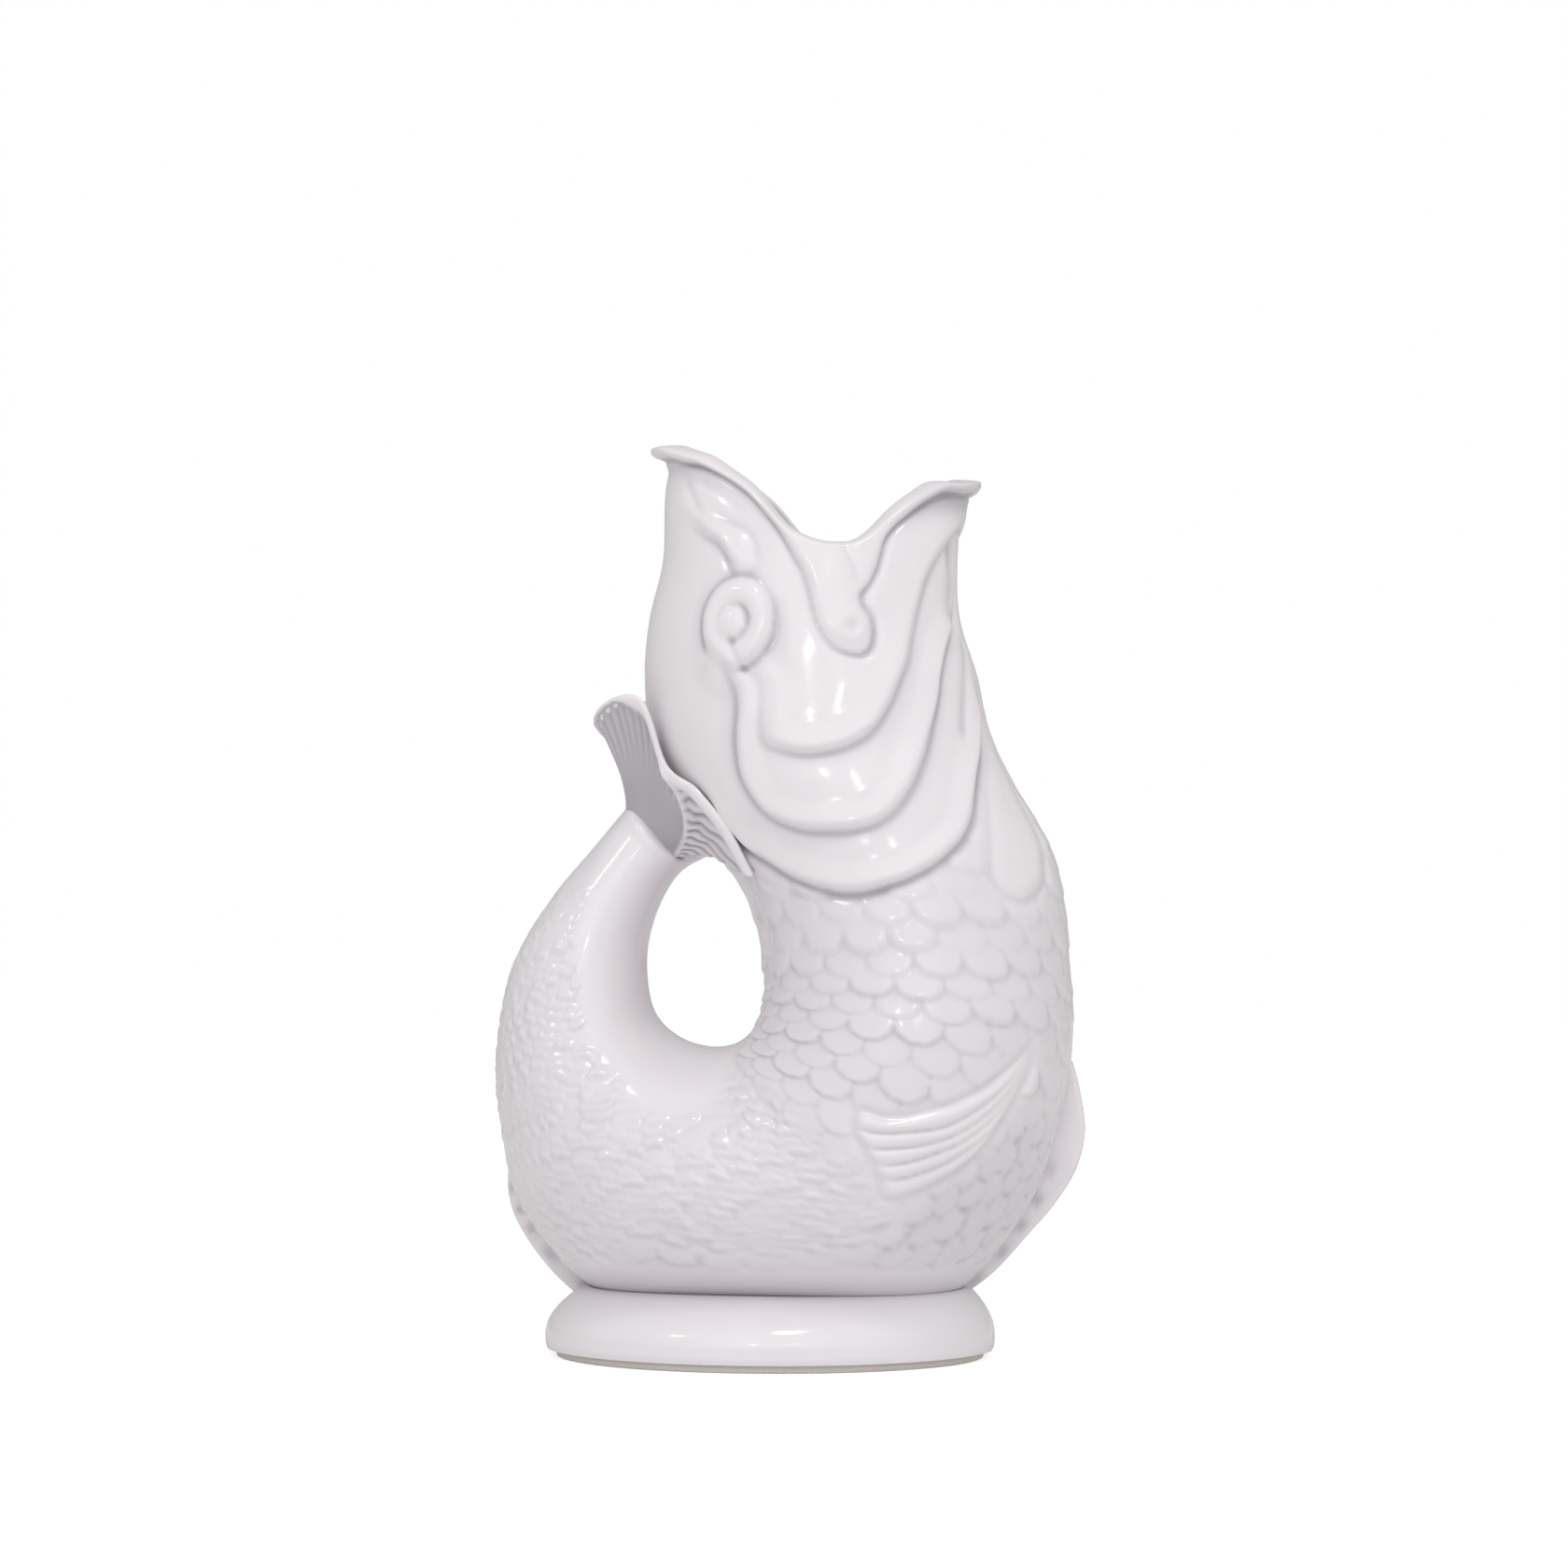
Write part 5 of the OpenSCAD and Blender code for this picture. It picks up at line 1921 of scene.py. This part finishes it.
    def relief(self, far: Array, out: Array, to_rim: Array) -> tuple[Array, Array]:
        """Relief of the fin's outer face.

        Args:
            far: place along the rim, on either side.
            out: place from the root to the rim.
            to_rim: distance from the rim.

        Returns:
            The lift of the outer face, and its painted shade.
        """
        gap = far - self.fork - (self.last - self.fork) * (1 - out) ** self.ridge_power
        ridge = bell(gap, spread=self.ridge_w) * fade(out, self.ridge_root) * fade(to_rim, self.ridge_rim)
        lower = fade(gap, self.lower_lobe)
        side = fade(far, self.side_change)
        border = [mix(back, beside, side) for back, beside in zip(self.back_border, self.side_border)]
        blade = (1 - lower) * fade(to_rim, border) * fade(out, self.hollow_root)
        fine = np.sin(2 * math.pi * self.fine_rays * far + self.fine_sway * np.sin(self.fine_sway_turn * far))
        fine = fine * fade(out, self.fine_root) * blade
        sway = self.slot_sway * np.sin(self.slot_sway_turns[0] * far + self.slot_sway_turns[1] * out)
        slot = wave((out - self.slot_slant * far + sway) / self.slot_step) ** self.slot_power
        slot = slot * lower * fade(to_rim, self.slot_rim) * fade(gap, self.slot_ridge)
        lift = self.ridge_t * ridge - self.hollow * blade - self.slot_depth * slot + self.fine_ray_t * fine
        fall = self.blade_shade_fall * fade(out, self.blade_shade_fade) + self.fine_ray_shade * fine
        pool = blade * (self.blade_shade - fall) + self.slot_shade * slot
        pool += self.lower_lobe_shade * lower * fade(gap, self.lower_shade_ridge) * fade(to_rim, self.lower_shade_rim)
        return lift, np.clip(pool * (1 - self.ridge_clear * ridge), 0, 1)

    def build(self) -> Shell:
        """Make the fin: a sheet with its relief outside and a cord along its rim.

        Returns:
            The closed shell.
        """
        share = np.linspace(0, 1, self.rows)
        rim_turn = np.linspace(0, math.pi / 2, self.fine_rim_rows)
        rim = 1 - (1 - share[-self.coarse_rim_rows]) * np.cos(rim_turn) ** self.rim_row_power
        out = np.concatenate([share[: -self.coarse_rim_rows], rim])
        place, out = np.meshgrid(np.linspace(-self.last, self.last, self.columns), out, indexing="ij")
        middle = self.sheet(place, out)
        normals = grid_normals(middle, closed=False)
        to_rim = (1 - out) * np.linalg.norm(np.diff(middle, axis=1), axis=-1).sum(axis=1)[:, None]
        lift, pool = self.relief(np.abs(place), out, to_rim)
        cord_r = mix(self.upper_cord_r, self.lower_cord_r, fade(np.abs(place), self.cord_change))
        cord = cord_r * np.sqrt(np.clip(1 - ((to_rim - cord_r) / cord_r) ** 2, 0, 1))
        half = np.maximum(self.thickness / 2 * fade(to_rim, self.rim_thin), cord)
        half = np.where(to_rim < cord_r, cord, half)
        half[:, -1] = self.edge_t
        away = normals * np.sign((normals[..., 1] * middle[..., 1]).sum())
        outer = middle + away * (half + lift * fade(to_rim, self.rim_lift))[..., None]
        inner = middle - away * np.maximum(half - self.inner_cut, self.edge_t)[..., None]
        return Shell.from_faces(outer, inner, (pool, np.zeros_like(pool)))


@dataclass
class Blade:
    """Fin that stands on the middle of the belly's edge, thin and notched along its root."""

    form: FishForm
    stations: Row
    reach_shares: Row
    reach: float
    notches: float
    smooth_share: float
    thickness: float = 3.2
    sink: float = 1.2
    columns: int = 120
    rows: int = 20
    row_power: float = 1.2
    notch_shift: float = 0.25
    notch_turn: float = 9.0
    notch_power: float = 1.5
    notch_fade: float = 0.2
    notch_share: float = 0.45
    root_heights: Fade = (3.4, 1.0)
    tip_round: float = 0.45
    least_tip: float = 0.02
    end_round: float = 0.05
    least_end: float = 0.1
    # Painted shade in the notches along the root
    root_shade: float = 0.42

    def build(self) -> Shell:
        """Make the blade.

        Returns:
            The closed shell.
        """
        first, last = self.stations
        share, step = np.linspace(0, 1, self.columns), (last - first) / self.columns
        k = mix(first, last, share)
        zero = np.zeros_like(k)
        run = self.form.skin(k + step, zero) - self.form.skin(k - step, zero)
        out = unit(np.stack([-run[:, 2], zero, run[:, 0]], axis=1))
        table = np.array(self.reach_shares)[:, None]
        far = self.reach * along(table, share * (len(table) - 1))
        up = 1 - np.cos(np.linspace(0, math.pi / 2, self.rows)) ** self.row_power
        height = mix(-self.sink, far, up)
        middle = self.form.skin(k, zero)[:, None] + out[:, None] * height[..., None]
        uneven = share + self.notch_shift / self.notches * np.sin(self.notch_turn * share)
        dip = wave(self.notches * uneven) ** self.notch_power
        dip = dip * fade(share, (self.smooth_share, self.smooth_share + self.notch_fade))
        root = fade(height, self.root_heights) * dip[:, None]
        half = self.thickness / 2 * (1 - self.notch_share * root)
        tip = quarter_round((far - height) / (self.thickness * self.tip_round))
        half = half * np.maximum(tip, self.least_tip)
        ends = quarter_round(np.minimum(share, 1 - share) / self.end_round)
        half = half * np.maximum(ends, self.least_end)[:, None]
        side = np.array([0.0, 1.0, 0.0]) * half[..., None]
        pool = self.root_shade * root
        return Shell.from_faces(middle + side, middle - side, (pool, pool))


@dataclass
class Pedestal:
    """Hollow oval foot, a smooth pillow that the belly sits in, and the bare ring under it."""

    form: FishForm
    centre_x: float
    length: float
    width: float
    seat_depth: float = 6.5
    crease_share: float = 0.8
    # Glaze pooling and painted shade over the number of rings from the crease
    crease_pool_and_shade: Swell = Swell(0.8, 4.0)
    ring_h: float = 2.0
    ring_w: float = 8.0
    ring_inset: float = 3.0
    ring_edge: float = 0.5
    edge_bevel: float = 0.3
    around: int = 240
    profile_steps: int = 6
    belly_steps: int = 400
    front_station: float = 10.0
    low_station: float = 14.0
    back_station: float = 18.0
    # Share of the way out to the widest oval, and share of the height
    profile: Rows = (
        (0.0, 0.78), (0.1, 0.84), (0.28, 0.82), (0.52, 0.72), (0.76, 0.585), (0.93, 0.44), (1.0, 0.3),
        (1.0, 0.18), (0.97, 0.1),
    )

    @property
    def turns(self) -> Array:
        """Angles all round, in radians."""
        return np.linspace(0, 2 * math.pi, self.around, endpoint=False)

    def belly_ring(self, z: float) -> Array:
        """Outline of the belly at one height, just off its skin.

        Args:
            z: height in millimetres.

        Returns:
            Places round the belly.
        """
        form = self.form
        ends = []
        for station in (self.front_station, self.back_station):
            k = np.linspace(self.low_station, station, self.belly_steps)
            ends.append(np.interp(z, form.section(k)[3], k))
        k = (ends[0] + ends[1]) / 2 + (ends[0] - ends[1]) / 2 * np.cos(self.turns)
        back_x, back_z, front_x, front_z, _ = form.section(k)
        half = np.hypot(front_x - back_x, front_z - back_z) / 2
        fall = (front_z - back_z) / (2 * half)
        share = (z - (back_z + front_z) / 2) / (fall * (half + form.slip_gap))
        points = form.skin(k, np.degrees(np.arccos(np.clip(share, -1, 1))), form.slip_gap)
        points[:, 1] *= np.where(np.sin(self.turns) < 0, 1.0, -1.0)
        return points

    def oval(self, turns: Array, inset: float, z: float) -> Array:
        """Oval of the foot.

        Args:
            turns: angles in radians.
            inset: distance inside the widest oval.
            z: height in millimetres.

        Returns:
            Places round the oval.
        """
        x = self.centre_x + (self.length / 2 - inset) * np.cos(turns)
        y = (self.width / 2 - inset) * np.sin(turns)
        return np.stack([x, y, np.full_like(x, z)], axis=1)

    def build_foot(self) -> Shell:
        """Make the pedestal.

        Returns:
            The closed shell.
        """
        height = self.form.pedestal_h
        top = self.belly_ring(self.crease_share * height)
        turns = np.arctan2(top[:, 1] / self.width, (top[:, 0] - self.centre_x) / self.length)
        spans = len(self.profile) - 1
        rings = [self.belly_ring(height - self.seat_depth)]
        for share, high in along(self.profile, np.linspace(0, spans, spans * self.profile_steps + 1)):
            ring = mix(top, self.oval(turns, 0.0, high * height), min(share, 1.0))
            ring[:, 2] = high * height
            rings.append(ring)
        for inset in (self.ring_inset, self.ring_inset + self.ring_w):
            rings.append(self.oval(turns, inset, self.ring_h))
        shell = Shell.from_rings(np.array(rings))
        shell.pool = np.repeat(self.crease_pool_and_shade.at(np.arange(len(rings))), self.around)
        return shell

    def build_ring(self) -> Shell:
        """Make the bare clay ring under the pedestal, with its arrises worn round.

        Returns:
            The closed shell.
        """
        edge, bevel = self.ring_edge, self.edge_bevel * self.ring_edge
        side = ((0.0, self.ring_h), (0.0, edge), (bevel, bevel), (edge, 0.0))
        near, far = self.ring_inset, self.ring_inset + self.ring_w
        corners = [(near + inset, z) for inset, z in side] + [(far - inset, z) for inset, z in side[::-1]]
        return Shell.from_rings(np.array([self.oval(self.turns, inset, z) for inset, z in corners]))


@dataclass(frozen=True)
class Lamp:
    """Square area lamp, with its place and width in metres and its power in watts."""

    name: str
    place: Row
    width: float
    watts: float

    def hang(self, aim: Row) -> None:
        """Add the lamp.

        Args:
            aim: the place that it faces.
        """
        light = bpy.data.lights.new(self.name, "AREA")
        light.size, light.energy = self.width, self.watts
        made = bpy.data.objects.new(self.name, light)
        made.location = self.place
        made.rotation_euler = (Vector(aim) - Vector(self.place)).to_track_quat("-Z", "Y").to_euler()
        bpy.context.scene.collection.objects.link(made)


@dataclass
class Studio:
    """Camera, lamps, floor and white surroundings, in metres."""

    paper: StudioPaper
    distance: float = 1.1
    azimuth: float = 6.0
    eye_level: float = 0.12
    lens_mm: float = 95.63
    sensor_mm: float = 36.0
    shift_x: float = -0.0051
    shift_y: float = 0.0743
    floor_half: float = 3.0
    aim: Row = (0.0, 0.0, 0.12)
    lamps: tuple[Lamp, ...] = (
        Lamp("softbox", place=(0.1, -1.5, 1.35), width=1.6, watts=3.9),
        Lamp("spark_left", place=(-0.11, -1.07, 0.6), width=0.045, watts=0.2),
        Lamp("spark_right", place=(0.23, -1.06, 0.63), width=0.045, watts=0.2),
        Lamp("spark_top", place=(0.08, -0.44, 1.23), width=0.16, watts=1.3),
        Lamp("spark_side", place=(-0.61, -0.51, 0.88), width=0.1, watts=0.35),
    )
    # Light from all round, which grows from the back to the front
    ambient_back: float = 0.5
    ambient_front: float = 0.95
    ambient_from: float = -0.3
    front: Row = (0.28, -0.86, 0.42)

    def build(self) -> None:
        """Set up the camera, the lamps, the floor and the world."""
        bpy.context.scene.view_settings.view_transform = "Standard"
        self.set_camera()
        for lamp in self.lamps:
            lamp.hang(self.aim)
        self.lay_floor()
        self.surround()

    def set_camera(self) -> None:
        """Set the camera level with the jug's middle, where the photo was taken from."""
        turn = math.radians(self.azimuth)
        lens = bpy.data.cameras.new("camera")
        lens.lens, lens.sensor_width = self.lens_mm, self.sensor_mm
        lens.shift_x, lens.shift_y = self.shift_x, self.shift_y
        camera = bpy.data.objects.new("camera", lens)
        camera.location = (self.distance * math.sin(turn), -self.distance * math.cos(turn), self.eye_level)
        camera.rotation_euler = (math.pi / 2, 0.0, turn)
        bpy.context.scene.collection.objects.link(camera)
        bpy.context.scene.camera = camera

    def lay_floor(self) -> None:
        """Add the paper that the jug stands on."""
        half = self.floor_half
        mesh = bpy.data.meshes.new("studio_floor")
        corners = [(-half, -half, 0), (half, -half, 0), (half, half, 0), (-half, half, 0)]
        mesh.from_pydata(corners, [], [(0, 1, 2, 3)])
        mesh.materials.append(self.paper.build())
        floor = bpy.data.objects.new("studio_floor", mesh)
        bpy.context.scene.collection.objects.link(floor)

    def surround(self) -> None:
        """Light the scene softly from all round, and show the camera plain white."""
        world = bpy.data.worlds.new("studio")
        tree = fresh_tree(world)
        camera_ray = add_node(tree, "ShaderNodeLightPath").outputs["Is Camera Ray"]
        way = add_node(tree, "ShaderNodeTexCoord").outputs["Generated"]
        facing = add_node(tree, "ShaderNodeVectorMath", {0: way, 1: self.front}, operation="DOT_PRODUCT")
        growth = {
            "Value": facing.outputs["Value"],
            "From Min": self.ambient_from,
            "To Min": self.ambient_back,
            "To Max": self.ambient_front,
        }
        room = add_node(tree, "ShaderNodeMapRange", growth, interpolation_type="SMOOTHSTEP").outputs["Result"]
        seen = {"Value": camera_ray, "To Min": room, "To Max": 1.0}
        strength = add_node(tree, "ShaderNodeMapRange", seen).outputs["Result"]
        glow = add_node(tree, "ShaderNodeBackground", {"Color": hex_to_linear(WHITE), "Strength": strength})
        add_node(tree, "ShaderNodeOutputWorld", {"Surface": glow.outputs["Background"]})
        bpy.context.scene.world = world


def main() -> None:
    """Build the jug's pieces in order, dress them and light them."""
    logging.basicConfig(level=logging.INFO, format="%(name)s: %(message)s")
    glaze, clay = WhiteGlaze().build(), BareClay().build()
    foot_low, foot_high = (np.array(corner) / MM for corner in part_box("pedestal"))
    form = FishForm(jug_h=CAD_BOX[1][2] / MM, pedestal_h=foot_high[2])
    skin = FishSkin(form)

    covered = np.zeros((len(skin.points) - 1, skin.points.shape[1]), dtype=bool)
    reliefs = [(name, skin.cells(name)) for name in LIPS]
    for name in PAIRED_RELIEFS:
        reliefs += [(f"{name}_{side.value}", skin.cells(name, side)) for side in Side]
    for node, cells in reliefs:
        skin.relief(cells & ~covered).piece(f"glazed_{node}", "white_glaze", glaze, node)
        covered |= cells

    centre, size = (foot_low + foot_high) / 2, foot_high - foot_low
    pedestal = Pedestal(form, centre_x=centre[0], length=size[0], width=size[1])
    ventral = Blade(
        form, stations=(10.45, 12.9), reach_shares=(0.1, 0.52, 0.93, 0.99, 0.74, 0.5, 0.33, 0.1), reach=7.9,
        notches=8.0, smooth_share=0.35,
    )
    anal = Blade(
        form, stations=(14.8, 16.5), reach_shares=(1.0, 1.0, 0.95, 0.9, 0.85, 0.75, 0.5, 0.1), reach=4.8,
        notches=6.0, smooth_share=0.0,
    )
    for node, shell in (
        ("vessel_body", skin.vessel(covered)),
        ("tail_handle", skin.tail()),
        ("tail_fin", TailFin(form).build()),
        ("ventral_fin", ventral.build()),
        ("anal_fin", anal.build()),
        ("pedestal", pedestal.build_foot()),
    ):
        shell.piece(f"glazed_{node}", "white_glaze", glaze, node)
    pedestal.build_ring().piece("bare_foot_ring", "bare_clay", clay, "foot_ring")
    Studio(StudioPaper()).build()


if __name__ == "__main__":
    main()
